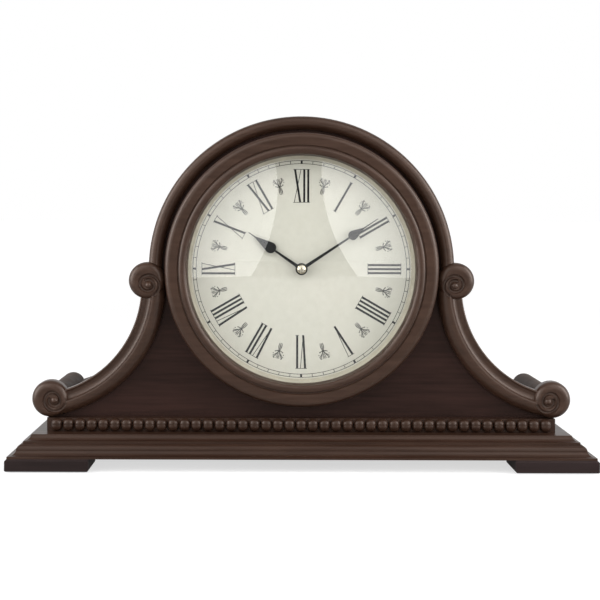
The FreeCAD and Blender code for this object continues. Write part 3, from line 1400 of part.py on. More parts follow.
speaker_screw_places = [(speaker_x + across(speaker_screw_ring, 45 + 360.0 * n / SPEAKER_SCREW_COUNT),
                         speaker_z + along(speaker_screw_ring, 45 + 360.0 * n / SPEAKER_SCREW_COUNT))
                        for n in range(SPEAKER_SCREW_COUNT)]
speaker_face = panel_back_inner - S.speaker_flange_thickness
speaker_screw_holes = [rod("speaker_hole", x, speaker_face - S.overrun, z, S.speaker_screw_radius,
                           S.speaker_screw_length + S.overrun, TO_BACK) for x, z in speaker_screw_places]

hinge_x = -S.door_half_width
hinge_y = panel_back_outer + S.knuckle_radius + S.knuckle_lift
hinge_heights = [door_bottom + S.hinge_inset, door_bottom + door_height - S.hinge_inset]


def hinge_leaf(label, side, knuckles):
    """A leaf on one side of the pin, with knuckles that fill some thirds of its length."""
    parts = []
    third = S.hinge_length / 3
    for middle in hinge_heights:
        bottom = middle - S.hinge_length / 2
        near = S.knuckle_radius + S.knuckle_lift
        left = hinge_x + near if side > 0 else hinge_x - near - S.hinge_leaf
        leaf = box(label + "_leaf", left, panel_back_outer, bottom, S.hinge_leaf, S.leaf_thickness,
                   S.hinge_length)
        pieces = [leaf]
        for n in knuckles:
            low = bottom + third * n + S.knuckle_gap / 2
            high = bottom + third * (n + 1) - S.knuckle_gap / 2
            pieces.append(rod(label + "_knuckle", hinge_x, hinge_y, low, S.knuckle_radius, high - low))
            web_left = hinge_x if side > 0 else hinge_x - near
            pieces.append(box(label + "_web", web_left, panel_back_outer + S.knuckle_lift, low, near,
                              S.leaf_thickness - S.knuckle_lift, high - low))
        bore = S.pin_radius if side < 0 else S.pin_radius + S.running_clearance
        pin_space = rod(label + "_bore", hinge_x, hinge_y, bottom - S.overrun, bore,
                        S.hinge_length + S.overrun * 2)
        screws = [screw_hole(label + "_screw_hole", hinge_x + (near + S.hinge_leaf / 2) * side,
                             panel_back_outer + S.leaf_thickness, middle + S.hinge_length * share,
                             S.hinge_screw_radius, S.hinge_screw_radius * HINGE_SCREW_HEAD_SHARE,
                             S.hinge_screw_head,
                             S.hinge_screw_length, TO_FRONT) for share in HINGE_SCREW_SHARES]
        parts.append(cut(label + "_one", fuse(label + "_blank", *pieces), pin_space, *screws))
    return group(label, *parts)


def hinge_screws(label, side):
    near = S.knuckle_radius + S.knuckle_lift
    return group(label, *[screw(label + "_one", hinge_x + (near + S.hinge_leaf / 2) * side,
                                panel_back_outer + S.leaf_thickness, middle + S.hinge_length * share,
                                S.hinge_screw_radius, S.hinge_screw_radius * HINGE_SCREW_HEAD_SHARE,
                                S.hinge_screw_head,
                                S.hinge_screw_length, TO_FRONT)
                          for middle in hinge_heights for share in HINGE_SCREW_SHARES])


def hinge_screw_holes(label, side):
    near = S.knuckle_radius + S.knuckle_lift
    return [rod(label, hinge_x + (near + S.hinge_leaf / 2) * side,
                panel_back_outer - S.hinge_screw_length + S.leaf_thickness,
                middle + S.hinge_length * share, S.hinge_screw_radius, S.hinge_screw_length, TO_BACK)
            for middle in hinge_heights for share in HINGE_SCREW_SHARES]


hinge_leaf_case = hinge_leaf("hinge_leaf_case", -1, (0, 2))
hinge_leaf_door = hinge_leaf("hinge_leaf_door", 1, (1,))
hinge_pins = group("hinge_pins", *[rod("hinge_pin", hinge_x, hinge_y, middle - S.hinge_length / 2,
                                       S.pin_radius,
                                       S.hinge_length) for middle in hinge_heights])
hinge_screws_case = hinge_screws("hinge_screws_case", -1)
hinge_screws_door = hinge_screws("hinge_screws_door", 1)
leg_spaces = [box("leg_space", arch_inner if side > 0 else -arch_inner - S.shell_thickness * 2,
                  panel_back_inner - S.overrun, leg_bottom, S.shell_thickness * 2,
                  S.back_panel_thickness + S.overrun * 2, S.dial_height - leg_bottom) for side in (-1, 1)]
back_panel = cut("back_panel", back_blank, door_space, *leg_spaces, *rolls, *back_holes, *grille_holes,
                 *speaker_screw_holes,
                 *hinge_screw_holes("case_leaf_hole", -1))

door_width = S.door_half_width * 2 - S.door_gap * 2
door_blank = new_body("door_blank", -S.door_half_width + S.door_gap, panel_back_outer,
                      door_bottom + S.door_gap,
                      TO_FRONT)
door_sketch = sketch_on(door_blank, "door_outline")
door_rise = door_height - S.door_gap * 2
draw(door_sketch, rectangle(0, 0, door_width, door_rise))
pad(door_blank, door_sketch, S.back_panel_thickness)
access_door = cut("access_door", door_blank, *hinge_screw_holes("door_leaf_hole", 1))

knob_x = S.door_half_width - S.door_gap - S.door_knob_inset
knob_profile = [(0, 0)] + shares_of(KNOB_SHARES, S.door_knob_radius,
                                    S.door_knob_height) + [(0, S.door_knob_height)]
door_knob = turned("door_knob", knob_profile, knob_x, panel_back_outer, door_middle_z, TO_BACK)

strike_x = S.door_half_width - S.door_gap - S.catch_reach
strike_plate = box("strike_plate", strike_x - S.door_gap, panel_back_inner - S.strike_thickness,
                   door_middle_z - S.catch_height / 2, S.catch_reach, S.strike_thickness, S.catch_height)
catch_body = box("catch_body", S.door_half_width + S.door_gap, panel_back_inner - S.catch_depth,
                 door_middle_z - S.catch_height / 2, S.catch_width, S.catch_depth, S.catch_height)
catch_nose = box("catch_nose", S.door_half_width + S.door_gap - S.catch_reach,
                 panel_back_inner - S.catch_depth,
                 door_middle_z - S.catch_height / 2, S.catch_reach,
                 S.catch_depth - S.strike_thickness - S.catch_gap, S.catch_height)
magnetic_catch = fuse("magnetic_catch", catch_body, catch_nose)

# Speaker behind the grille holes, facing back
cone_edge = S.speaker_radius - S.speaker_flange
speaker_frame_profile = [(cone_edge, 0), (S.speaker_radius, 0), (S.speaker_radius,
                                                                 S.speaker_flange_thickness),
                         (cone_edge + S.basket_wall, S.speaker_flange_thickness),
                         (S.speaker_back_radius + S.basket_wall, S.speaker_depth),
                         (0, S.speaker_depth), (0, S.speaker_depth - S.basket_wall),
                         (S.speaker_back_radius, S.speaker_depth - S.basket_wall),
                         (cone_edge, S.speaker_flange_thickness)]
frame_blank = turned("speaker_frame_blank", speaker_frame_profile, speaker_x, panel_back_inner, speaker_z)
frame_holes = [rod("frame_hole", x, speaker_face - S.overrun, z, S.speaker_screw_radius,
                   S.speaker_flange_thickness + S.overrun * 2, TO_BACK) for x, z in speaker_screw_places]
speaker_frame = cut("speaker_frame", frame_blank, *frame_holes)
cone_back = S.speaker_depth - S.basket_wall
speaker_cone = turned("speaker_cone", [(0, cone_back - S.cone_wall * 4),
                                       (S.dust_cap_radius, cone_back - S.cone_wall * 4),
                                       (cone_edge - S.cone_wall, S.speaker_flange_thickness - S.cone_wall),
                                       (cone_edge, S.speaker_flange_thickness - S.cone_wall),
                                       (cone_edge, S.speaker_flange_thickness),
                                       (S.dust_cap_radius, cone_back - S.cone_wall * 2),
                                       (S.dust_cap_radius, cone_back), (0, cone_back)],
                      speaker_x, panel_back_inner, speaker_z)
speaker_magnet = turned("speaker_magnet", [(0, S.speaker_depth), (S.magnet_radius, S.speaker_depth),
                                           (S.magnet_radius, S.speaker_depth + S.magnet_thickness),
                                           (0, S.speaker_depth + S.magnet_thickness)],
                        speaker_x, panel_back_inner, speaker_z)
speaker_screws = group("speaker_screws", *[
    turned("speaker_screw", [(0, -S.speaker_screw_head_radius / 2),
                             (S.speaker_screw_head_radius * SCREW_SHANK_SHARE,
                              -S.speaker_screw_head_radius / 2),
                             (S.speaker_screw_head_radius, 0), (S.speaker_screw_radius, 0),
                             (S.speaker_screw_radius, S.speaker_screw_length * SCREW_SHANK_SHARE),
                             (0, S.speaker_screw_length)],
           x, speaker_face, z, TO_BACK) for x, z in speaker_screw_places])

doc.recompute()

# Nodes in the order of assembly
NODES = (base_board, top_board, *feet, foot_pads, base_screws, front_panel, arch_shell, *side_shells,
         glue_blocks,
         back_panel, back_panel_screws, arch_moulding, *scroll_mouldings, bead_body, bezel_ring, sight_ring,
         dome_glass, dial_plate, hour_hand, minute_hand, hand_nut, movement_front_case, movement_back_case,
         rubber_washer, shaft_bushing, bushing_nut, minute_arbor, hour_wheel, motion_wheel, setting_knob,
         centre_wheel, third_wheel, seconds_wheel, intermediate_wheel, rotor, stator, coil, circuit_board,
         batteries, battery_contacts, volume_slider, chime_selector, access_door,
         hinge_leaf_case, hinge_leaf_door, hinge_pins, hinge_screws_case, hinge_screws_door, door_knob,
         strike_plate, magnetic_catch, speaker_frame, speaker_cone, speaker_magnet, speaker_screws)

faults = [item.Label for item in doc.Objects if "Invalid" in item.State or "Error" in item.State]
for node in NODES:
    if node.Shape.isNull() or not node.Shape.isValid() or not node.Shape.Solids:
        faults.append(node.Label)
if faults:
    raise SystemExit("failed: " + ", ".join(sorted(set(faults))))

os.makedirs("parts", exist_ok=True)
for node in NODES:
    node.Shape.exportStep(f"parts/{node.Label}.step")
print(len(NODES), "nodes")
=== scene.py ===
import json
from math import cos, pi, radians, sin

import bpy
from mathutils import Matrix, Vector


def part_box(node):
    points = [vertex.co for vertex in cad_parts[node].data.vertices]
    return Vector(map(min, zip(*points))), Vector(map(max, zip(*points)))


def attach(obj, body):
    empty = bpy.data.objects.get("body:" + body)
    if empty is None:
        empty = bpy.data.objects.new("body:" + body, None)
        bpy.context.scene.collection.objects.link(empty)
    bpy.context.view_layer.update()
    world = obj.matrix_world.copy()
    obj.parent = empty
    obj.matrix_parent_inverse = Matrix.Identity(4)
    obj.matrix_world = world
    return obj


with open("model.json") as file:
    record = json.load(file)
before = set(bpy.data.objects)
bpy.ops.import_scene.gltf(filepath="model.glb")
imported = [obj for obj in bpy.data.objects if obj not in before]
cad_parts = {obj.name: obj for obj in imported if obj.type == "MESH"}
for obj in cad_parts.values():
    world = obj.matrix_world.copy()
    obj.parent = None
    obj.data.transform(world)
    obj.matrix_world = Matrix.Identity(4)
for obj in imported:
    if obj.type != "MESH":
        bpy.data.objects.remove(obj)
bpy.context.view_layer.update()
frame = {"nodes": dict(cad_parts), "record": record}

MM = 0.001

# Where a noise's dark and light ends lie, as shares of its output
NOISE_RANGE = (0.3, 0.7)
SPECKLE_STOPS = (0.35, 0.65)
GRAIN_STOPS = (0.38, 0.62)

# Materials: (dark colour, light colour, metallic, lowest and highest roughness, noise scale, bump depth)
PLAIN_FINISHES = {
    "felt": ((0.010, 0.010, 0.011), (0.035, 0.034, 0.035), 0.0, 0.9, 1.0, 1400.0, 0.00020),
    "screw_steel": ((0.42, 0.41, 0.39), (0.60, 0.58, 0.55), 1.0, 0.28, 0.45, 300.0, 0.00001),
    "sight_enamel": ((0.50, 0.46, 0.37), (0.58, 0.54, 0.44), 0.0, 0.35, 0.5, 160.0, 0.00001),
    "nut_brass": ((0.60, 0.54, 0.42), (0.72, 0.66, 0.53), 1.0, 0.18, 0.32, 400.0, 0.00001),
    "hinge_brass": ((0.48, 0.34, 0.14), (0.66, 0.50, 0.24), 1.0, 0.25, 0.42, 260.0, 0.00001),
    "case_plastic": ((0.012, 0.012, 0.013), (0.022, 0.022, 0.023), 0.0, 0.45, 0.62, 900.0, 0.00004),
    "knob_plastic": ((0.020, 0.020, 0.021), (0.034, 0.034, 0.035), 0.0, 0.35, 0.5, 700.0, 0.00002),
    "slider_plastic": ((0.45, 0.44, 0.41), (0.56, 0.55, 0.52), 0.0, 0.4, 0.55, 700.0, 0.00002),
    "rubber": ((0.014, 0.014, 0.014), (0.028, 0.028, 0.027), 0.0, 0.7, 0.9, 800.0, 0.00003),
    "arbor_steel": ((0.46, 0.46, 0.45), (0.62, 0.62, 0.60), 1.0, 0.2, 0.34, 500.0, 0.00001),
    "wheel_plastic": ((0.52, 0.50, 0.45), (0.66, 0.64, 0.58), 0.0, 0.35, 0.5, 600.0, 0.00001),
    "rotor_magnet": ((0.030, 0.030, 0.032), (0.060, 0.060, 0.062), 0.3, 0.4, 0.6, 600.0, 0.00002),
    "stator_steel": ((0.30, 0.30, 0.31), (0.44, 0.44, 0.45), 1.0, 0.3, 0.48, 350.0, 0.00001),
    "contact_nickel": ((0.56, 0.55, 0.51), (0.70, 0.69, 0.64), 1.0, 0.18, 0.34, 400.0, 0.00001),
    "catch_plastic": ((0.10, 0.055, 0.030), (0.15, 0.085, 0.050), 0.0, 0.4, 0.55, 700.0, 0.00002),
    "basket_metal": ((0.020, 0.020, 0.021), (0.036, 0.036, 0.037), 0.6, 0.4, 0.58, 500.0, 0.00002),
    "cone_paper": ((0.022, 0.021, 0.020), (0.045, 0.043, 0.041), 0.0, 0.8, 0.95, 1000.0, 0.00008),
    "ferrite": ((0.028, 0.028, 0.029), (0.050, 0.050, 0.051), 0.1, 0.6, 0.8, 900.0, 0.00004),
    "dial_print": ((0.598, 0.578, 0.496), (0.624, 0.604, 0.522), 0.0, 0.5, 0.6, 220.0, 0.00001),
}

# Woods: (dark colour, light colour, lowest and highest roughness, specular level, bump depth)
WOODS = {
    "moulding_wood": ((0.026, 0.0124, 0.0076), (0.042, 0.0208, 0.0130), 0.29, 0.38, 0.42, 0.00004),
    # The moulding wood made darker as painted shade for the plinth boards and bead strip
    "plinth_wood_painted_shade": ((0.020, 0.0090, 0.0054), (0.032, 0.0152, 0.0094), 0.29, 0.38, 0.30, 0.00004),
    "shell_wood": ((0.030, 0.0160, 0.0105), (0.048, 0.0265, 0.0175), 0.5, 0.62, 0.15, 0.00006),
    "panel_veneer": ((0.0125, 0.0056, 0.0044), (0.0260, 0.0116, 0.0092), 0.42, 0.54, 0.15, 0.00004),
    "foot_wood": ((0.0095, 0.0056, 0.0058), (0.0175, 0.0105, 0.0108), 0.5, 0.6, 0.2, 0.00005),
    "block_wood": ((0.42, 0.27, 0.14), (0.62, 0.44, 0.26), 0.65, 0.82, 0.3, 0.00010),
    "back_board": ((0.030, 0.021, 0.016), (0.056, 0.040, 0.031), 0.6, 0.78, 0.3, 0.00008),
}
# Nodes given a darker copy of the moulding wood, painted shade for the low plinth boards and bead strip
SHADED_NODE_FINISHES = {
    "plinth_base_board": "plinth_wood_painted_shade",
    "plinth_top_board": "plinth_wood_painted_shade",
    "bead_moulding": "plinth_wood_painted_shade",
}
GRAIN_STRETCH = (0.055, 1.0, 1.0)
GRAIN_SCALE = 420.0
FIGURE_STRETCH = (0.12, 1.0, 1.0)
FIGURE_SCALE = 42.0
STAIN_TINT = (1.0, 0.86, 0.78, 1.0)

GLASS_MIRROR = 0.06
GLASS_TINTS = ((0.985, 0.992, 0.990), (0.996, 0.998, 0.997))
GLASS_ROUGHNESS = (0.0, 0.03)
SMEAR_SCALE = 24.0
SLANT_POWER = 5.0

COPPER_COLOURS = ((0.28, 0.09, 0.03), (0.62, 0.26, 0.12))
COPPER_ROUGHNESS = 0.32
WINDING_SCALE = 900.0
WINDING_WAVER = 0.6
WINDING_DEPTH = 0.00006
WINDING_STOPS = (0.2, 0.8)

LAMINATE_COLOURS = ((0.010, 0.060, 0.024), (0.020, 0.105, 0.044))
LAMINATE_ROUGHNESS = (0.3, 0.45)
WEAVE_SCALE = 1200.0
WEAVE_DEPTH = 0.00002

# Along a cell from its foot: the dark sleeve and the copper-coloured end
SLEEVE_BANDS = ((0.0, (0.015, 0.015, 0.016)), (0.66, (0.020, 0.020, 0.021)), (0.70, (0.55, 0.33, 0.12)))
SLEEVE_METALLIC = 0.4
SLEEVE_ROUGHNESS = (0.22, 0.36)
SLEEVE_WEAR_SCALE = 500.0

# Paints: (dark colour, light colour, specular level)
PAINTS = {
    "hand_black": ((0.004, 0.004, 0.004), (0.009, 0.009, 0.009), 0.2),
    "dial_ink": ((0.006, 0.006, 0.007), (0.014, 0.014, 0.015), 0.06),
    "fleuron_ink": ((0.045, 0.044, 0.041), (0.075, 0.073, 0.068), 0.06),
}
PAINT_ROUGHNESS = (0.4, 0.5)
PAINT_SCALE = 900.0

# Dial print, in millimetres
PRINT_LIFT = 0.05
TRACK_INNER = 82.9
TRACK_OUTER = 85.4
TRACK_LINE = 0.4
TICK_LINE = 0.42
HOUR_BLOCK_WIDTH = 1.6
NUMERAL_FOOT = 52.2
NUMERAL_TOP = 78.6
THICK_STROKE = 1.65
THIN_STROKE = 0.5
SERIF_HEIGHT = 0.4
SERIF_REACH = 0.6
LETTER_WIDTHS = {"I": 1.65, "V": 4.8, "X": 5.8}
LETTER_GAP = 1.5
NUMERALS = ("XII", "I", "II", "III", "IIII", "V", "VI", "VII", "VIII", "IX", "X", "XI")
FLEURON_FOOT = 60.4
FLEURON_TOP = 73.5
WAIST_SHARE = 0.42
FLEURON_WAIST = FLEURON_FOOT + (FLEURON_TOP - FLEURON_FOOT) * WAIST_SHARE
STEM_LENGTH = FLEURON_WAIST - FLEURON_FOOT
HEAD_LENGTH = FLEURON_TOP - FLEURON_WAIST
# Sprigs: (across, outward, heading, length, bend, thickness), with headings and bends in radians
MIDDLE_SPRIGS = (
    (0.0, FLEURON_FOOT, 0.0, STEM_LENGTH + 1.2, 0.0, 0.7),
    (0.0, FLEURON_TOP - 2.6, 0.0, 2.4, 0.0, 0.6),
)
SIDE_SPRIGS = (
    (0.95, FLEURON_FOOT + 0.2, 0.16, STEM_LENGTH, -0.5, 0.7),
    (0.5, FLEURON_WAIST + 0.8, 1.45, 2.4, -0.6, 0.65),
    (0.4, FLEURON_WAIST + 1.2, 0.04, HEAD_LENGTH - 1.6, 0.2, 0.6),
    (0.7, FLEURON_WAIST + 1.4, 0.3, HEAD_LENGTH - 1.7, 0.35, 0.62),
    (1.4, FLEURON_WAIST + 2.8, 0.6, 4.2, 0.5, 0.58),
    (3.0, FLEURON_WAIST + 5.6, 1.1, 3.0, -4.0, 0.5),
)
# Dots: (across, outward, radius)
MIDDLE_DOTS = ((0.0, FLEURON_WAIST + 0.9, 0.95),)
SIDE_DOTS = ((2.9, FLEURON_WAIST + 1.7, 0.5), (4.1, FLEURON_WAIST + 3.6, 0.42))
SPRIG_TIP_SHARE = 0.4
SPRIG_SWELL_SHARE = 0.6
SPRIG_STEPS = 10
DOT_STEPS = 8
CIRCLE_STEPS = 240

# Camera and lights, in metres and degrees
CAMERA_PLACE = (-0.022, -0.860, 0.195)
CAMERA_ROLL = 0.16
LENS = 63.6
SENSOR = 36.0
SHIFT = (0.0440, -0.1404)
LIGHT_TARGET = Vector((0.0, 0.0, 0.15))
SOFTBOXES = {
    # name: (azimuth, elevation, distance, width, height, power)
    "left_softbox": (-41.0, 17.0, 1.5, 1.9, 2.2, 17.0),
    "right_softbox": (43.5, 20.0, 1.5, 1.9, 2.2, 18.5),
    "left_side_softbox": (-72.0, 10.0, 1.5, 1.0, 2.0, 24.0),
    "right_side_softbox": (72.0, 10.0, 1.5, 1.0, 2.0, 24.0),
    "top_softbox": (0.0, 58.0, 1.6, 2.2, 1.2, 6.0),
}
WORLD_LIGHT = 0.14
BEHIND_RANGE = (-0.2, 0.5)
FLOOR_SIZE = 60.0
FLOOR_COLOURS = ((0.44, 0.44, 0.44), (0.46, 0.46, 0.46))
FLOOR_TONE_SCALE = 3.0
FLOOR_ROUGHNESS = 0.9
FLOOR_SPECULAR = 0.1
NEAR_GLOW = 0.62
FAR_GLOW = 1.0
GLOW_REACH = 3.0


def add_node(tree, kind, **values):
    node = tree.nodes.new(kind)
    for name, value in values.items():
        setattr(node, name, value)
    return node


def noise(tree, scale, detail=4.0, stretch=(1.0, 1.0, 1.0)):
    place = add_node(tree, "ShaderNodeTexCoord")
    mapping = add_node(tree, "ShaderNodeMapping")
    mapping.inputs["Scale"].default_value = stretch
    texture = add_node(tree, "ShaderNodeTexNoise")
    texture.inputs["Scale"].default_value = scale
    texture.inputs["Detail"].default_value = detail
    tree.links.new(place.outputs["Object"], mapping.inputs["Vector"])
    tree.links.new(mapping.outputs["Vector"], texture.inputs["Vector"])
    return texture.outputs["Fac"]


def between(tree, source, low, high):
    ranged = add_node(tree, "ShaderNodeMapRange")
    ranged.inputs["From Min"].default_value, ranged.inputs["From Max"].default_value = NOISE_RANGE
    ranged.inputs["To Min"].default_value = low
    ranged.inputs["To Max"].default_value = high
    tree.links.new(source, ranged.inputs["Value"])
    return ranged.outputs["Result"]


def colour_ramp(tree, source, places_and_colours):
    stops = list(places_and_colours)
    ramp = add_node(tree, "ShaderNodeValToRGB")
    elements = ramp.color_ramp.elements
    while len(elements) < len(stops):
        elements.new(0.5)
    for element, (place, colour) in zip(elements, stops):
        element.position = place
        element.color = (*colour, 1.0)
    tree.links.new(source, ramp.inputs["Fac"])
    return ramp.outputs["Color"]


def add_bump(tree, shader, source, depth):
    bump = add_node(tree, "ShaderNodeBump")
    bump.inputs["Distance"].default_value = depth
    tree.links.new(source, bump.inputs["Height"])
    tree.links.new(bump.outputs["Normal"], shader.inputs["Normal"])


def new_material(name):
    made = bpy.data.materials.new(name)
    made.use_nodes = True
    return made, made.node_tree, made.node_tree.nodes["Principled BSDF"]


def plain_finish(name, dark, light, metallic, low, high, scale, depth):
    made, tree, shader = new_material(name)
    speckle = noise(tree, scale)
    tree.links.new(colour_ramp(tree, speckle, zip(SPECKLE_STOPS, (dark, light))), shader.inputs["Base Color"])
    tree.links.new(between(tree, speckle, low, high), shader.inputs["Roughness"])
    shader.inputs["Metallic"].default_value = metallic
    add_bump(tree, shader, speckle, depth)
    return made


def wood(name, dark, light, low, high, specular, depth):
    made, tree, shader = new_material(name)
    grain = noise(tree, GRAIN_SCALE, 6.0, GRAIN_STRETCH)
    figure = noise(tree, FIGURE_SCALE, 3.0, FIGURE_STRETCH)
    mixed = add_node(tree, "ShaderNodeMath", operation="ADD")
    halved = add_node(tree, "ShaderNodeMath", operation="MULTIPLY")
    halved.inputs[1].default_value = 0.5
    tree.links.new(grain, mixed.inputs[0])
    tree.links.new(figure, mixed.inputs[1])
    tree.links.new(mixed.outputs["Value"], halved.inputs[0])
    colours = colour_ramp(tree, halved.outputs["Value"], zip(GRAIN_STOPS, (dark, light)))
    tree.links.new(colours, shader.inputs["Base Color"])
    tree.links.new(between(tree, grain, low, high), shader.inputs["Roughness"])
    shader.inputs["Specular IOR Level"].default_value = specular
    shader.inputs["Specular Tint"].default_value = STAIN_TINT
    add_bump(tree, shader, grain, depth)
    return made


def clear_glass():
    """Clear glass that mirrors more at a slant, thin enough not to bend what is seen through it."""
    made, tree, shader = new_material("glass")
    tree.nodes.remove(shader)
    smear = noise(tree, SMEAR_SCALE, 2.0)
    clear = add_node(tree, "ShaderNodeBsdfTransparent")
    tree.links.new(colour_ramp(tree, smear, zip(NOISE_RANGE, GLASS_TINTS)), clear.inputs["Color"])
    mirror = add_node(tree, "ShaderNodeBsdfGlossy")
    tree.links.new(between(tree, smear, *GLASS_ROUGHNESS), mirror.inputs["Roughness"])
    slant = add_node(tree, "ShaderNodeLayerWeight")
    slant.inputs["Blend"].default_value = 0.5
    steep = add_node(tree, "ShaderNodeMath", operation="POWER")
    steep.inputs[1].default_value = SLANT_POWER
    share = add_node(tree, "ShaderNodeMapRange")
    share.inputs["To Min"].default_value = GLASS_MIRROR
    tree.links.new(slant.outputs["Facing"], steep.inputs[0])
    tree.links.new(steep.outputs["Value"], share.inputs["Value"])
    mixed = add_node(tree, "ShaderNodeMixShader")
    tree.links.new(share.outputs["Result"], mixed.inputs["Fac"])
    tree.links.new(clear.outputs["BSDF"], mixed.inputs[1])
    tree.links.new(mirror.outputs["BSDF"], mixed.inputs[2])
    tree.links.new(mixed.outputs["Shader"], tree.nodes["Material Output"].inputs["Surface"])
    return made


def copper_winding():
    made, tree, shader = new_material("coil_copper")
    place = add_node(tree, "ShaderNodeTexCoord")
    turns = add_node(tree, "ShaderNodeTexWave", wave_type="BANDS", bands_direction="X")
    turns.inputs["Scale"].default_value = WINDING_SCALE
    turns.inputs["Distortion"].default_value = WINDING_WAVER
    tree.links.new(place.outputs["Object"], turns.inputs["Vector"])
    colours = colour_ramp(tree, turns.outputs["Fac"], zip(WINDING_STOPS, COPPER_COLOURS))
    tree.links.new(colours, shader.inputs["Base Color"])
    shader.inputs["Metallic"].default_value = 1.0
    shader.inputs["Roughness"].default_value = COPPER_ROUGHNESS
    add_bump(tree, shader, turns.outputs["Fac"], WINDING_DEPTH)
    return made


def board_laminate():
    made, tree, shader = new_material("board_laminate")
    weave = noise(tree, WEAVE_SCALE, 2.0)
    colours = colour_ramp(tree, weave, zip(SPECKLE_STOPS, LAMINATE_COLOURS))
    tree.links.new(colours, shader.inputs["Base Color"])
    tree.links.new(between(tree, weave, *LAMINATE_ROUGHNESS), shader.inputs["Roughness"])
    add_bump(tree, shader, weave, WEAVE_DEPTH)
    return made


def battery_sleeve():
    made, tree, shader = new_material("battery_sleeve")
    place = add_node(tree, "ShaderNodeTexCoord")
    split = add_node(tree, "ShaderNodeSeparateXYZ")
    tree.links.new(place.outputs["Object"], split.inputs["Vector"])
    wear = noise(tree, SLEEVE_WEAR_SCALE)
    low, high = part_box("batteries")
    band = add_node(tree, "ShaderNodeMapRange")
    band.inputs["From Min"].default_value = low.x
    band.inputs["From Max"].default_value = high.x
    tree.links.new(split.outputs["X"], band.inputs["Value"])
    tree.links.new(colour_ramp(tree, band.outputs["Result"], SLEEVE_BANDS), shader.inputs["Base Color"])
    tree.links.new(between(tree, wear, *SLEEVE_ROUGHNESS), shader.inputs["Roughness"])
    shader.inputs["Metallic"].default_value = SLEEVE_METALLIC
    return made


def paint(name, dark, light, specular):
    made, tree, shader = new_material(name)
    spread = noise(tree, PAINT_SCALE)
    tree.links.new(colour_ramp(tree, spread, zip(SPECKLE_STOPS, (dark, light))), shader.inputs["Base Color"])
    tree.links.new(between(tree, spread, *PAINT_ROUGHNESS), shader.inputs["Roughness"])
    shader.inputs["Specular IOR Level"].default_value = specular
    return made


class DialPrint:
    """Thin shapes just ahead of the dial, drawn in millimetres from its centre (x right, z up)."""

    def __init__(self, name, material):
        self.name, self.material = name, material
        self.points, self.faces = [], []

    def polygon(self, corners):
        first = len(self.points)
        self.points.extend(corners)
        self.faces.append(tuple(range(first, first + len(corners))))

    def ribbon(self, path, widths):
        first = len(self.points)
        for index, (x, z) in enumerate(path):
            before = Vector(path[max(index - 1, 0)])
            after = Vector(path[min(index + 1, len(path) - 1)])
            direction = (after - before).normalized()
            aside = Vector((-direction.y, direction.x)) * widths[index] / 2
            self.points.append((x - aside.x, z - aside.y))
            self.points.append((x + aside.x, z + aside.y))
        for step in range(len(path) - 1):
            start = first + 2 * step
            self.faces.append((start, start + 2, start + 3, start + 1))

    def ring(self, radius, width):
        path = [(radius * sin(2 * pi * step / CIRCLE_STEPS), radius * cos(2 * pi * step / CIRCLE_STEPS))
                for step in range(CIRCLE_STEPS + 1)]
        path[-1] = path[0]
        self.ribbon(list(reversed(path)), [width] * len(path))

    def make(self):
        low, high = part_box("dial_plate")
        centre = (low + high) / 2
        ahead = low.y - PRINT_LIFT * MM
        mesh = bpy.data.meshes.new(self.name)
        corners = [(centre.x + x * MM, ahead, centre.z + z * MM) for x, z in self.points]
        mesh.from_pydata(corners, [], self.faces)
        mesh.materials.append(self.material)
        made = bpy.data.objects.new(self.name, mesh)
        bpy.context.scene.collection.objects.link(made)
        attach(made, "case")


def turned_to(angle):
    """Places (across, outward) points at a clockwise angle from twelve, tops outward."""
    def place(across, outward):
        return (outward * sin(angle) + across * cos(angle), outward * cos(angle) - across * sin(angle))
    return place


def minute_track(material):
    track = DialPrint("minute_track", material)
    track.ring(TRACK_INNER, TRACK_LINE)
    track.ring(TRACK_OUTER, TRACK_LINE)
    for minute in range(60):
        place = turned_to(radians(6 * minute))
        half = (HOUR_BLOCK_WIDTH if minute % 5 == 0 else TICK_LINE) / 2
        track.polygon([place(-half, TRACK_INNER), place(half, TRACK_INNER),
                       place(half, TRACK_OUTER), place(-half, TRACK_OUTER)])
    track.make()


def bar(printed, place, foot, top, width):
    """A stroke between an inner and an outer middle point, cut along the numeral's lines."""
    (foot_across, foot_out), (top_across, top_out) = foot, top
    half = width / 2
    printed.polygon([place(foot_across - half, foot_out), place(foot_across + half, foot_out),
                     place(top_across + half, top_out), place(top_across - half, top_out)])


def serif(printed, place, first, last, outward):
    low = outward if outward == NUMERAL_FOOT else outward - SERIF_HEIGHT
    printed.polygon([place(first, low), place(last, low),
                     place(last, low + SERIF_HEIGHT), place(first, low + SERIF_HEIGHT)])


def letter(printed, place, kind, left):
    right = left + LETTER_WIDTHS[kind]
    middle = (left + right) / 2
    thick, thin = THICK_STROKE / 2, THIN_STROKE / 2
    if kind == "I":
        bar(printed, place, (middle, NUMERAL_FOOT), (middle, NUMERAL_TOP), THICK_STROKE)
    if kind == "V":
        bar(printed, place, (middle, NUMERAL_FOOT), (left + thick, NUMERAL_TOP), THICK_STROKE)
        bar(printed, place, (middle, NUMERAL_FOOT), (right - thin, NUMERAL_TOP), THIN_STROKE)
    if kind == "X":
        bar(printed, place, (right - thick, NUMERAL_FOOT), (left + thick, NUMERAL_TOP), THICK_STROKE)
        bar(printed, place, (left + thin, NUMERAL_FOOT), (right - thin, NUMERAL_TOP), THIN_STROKE)


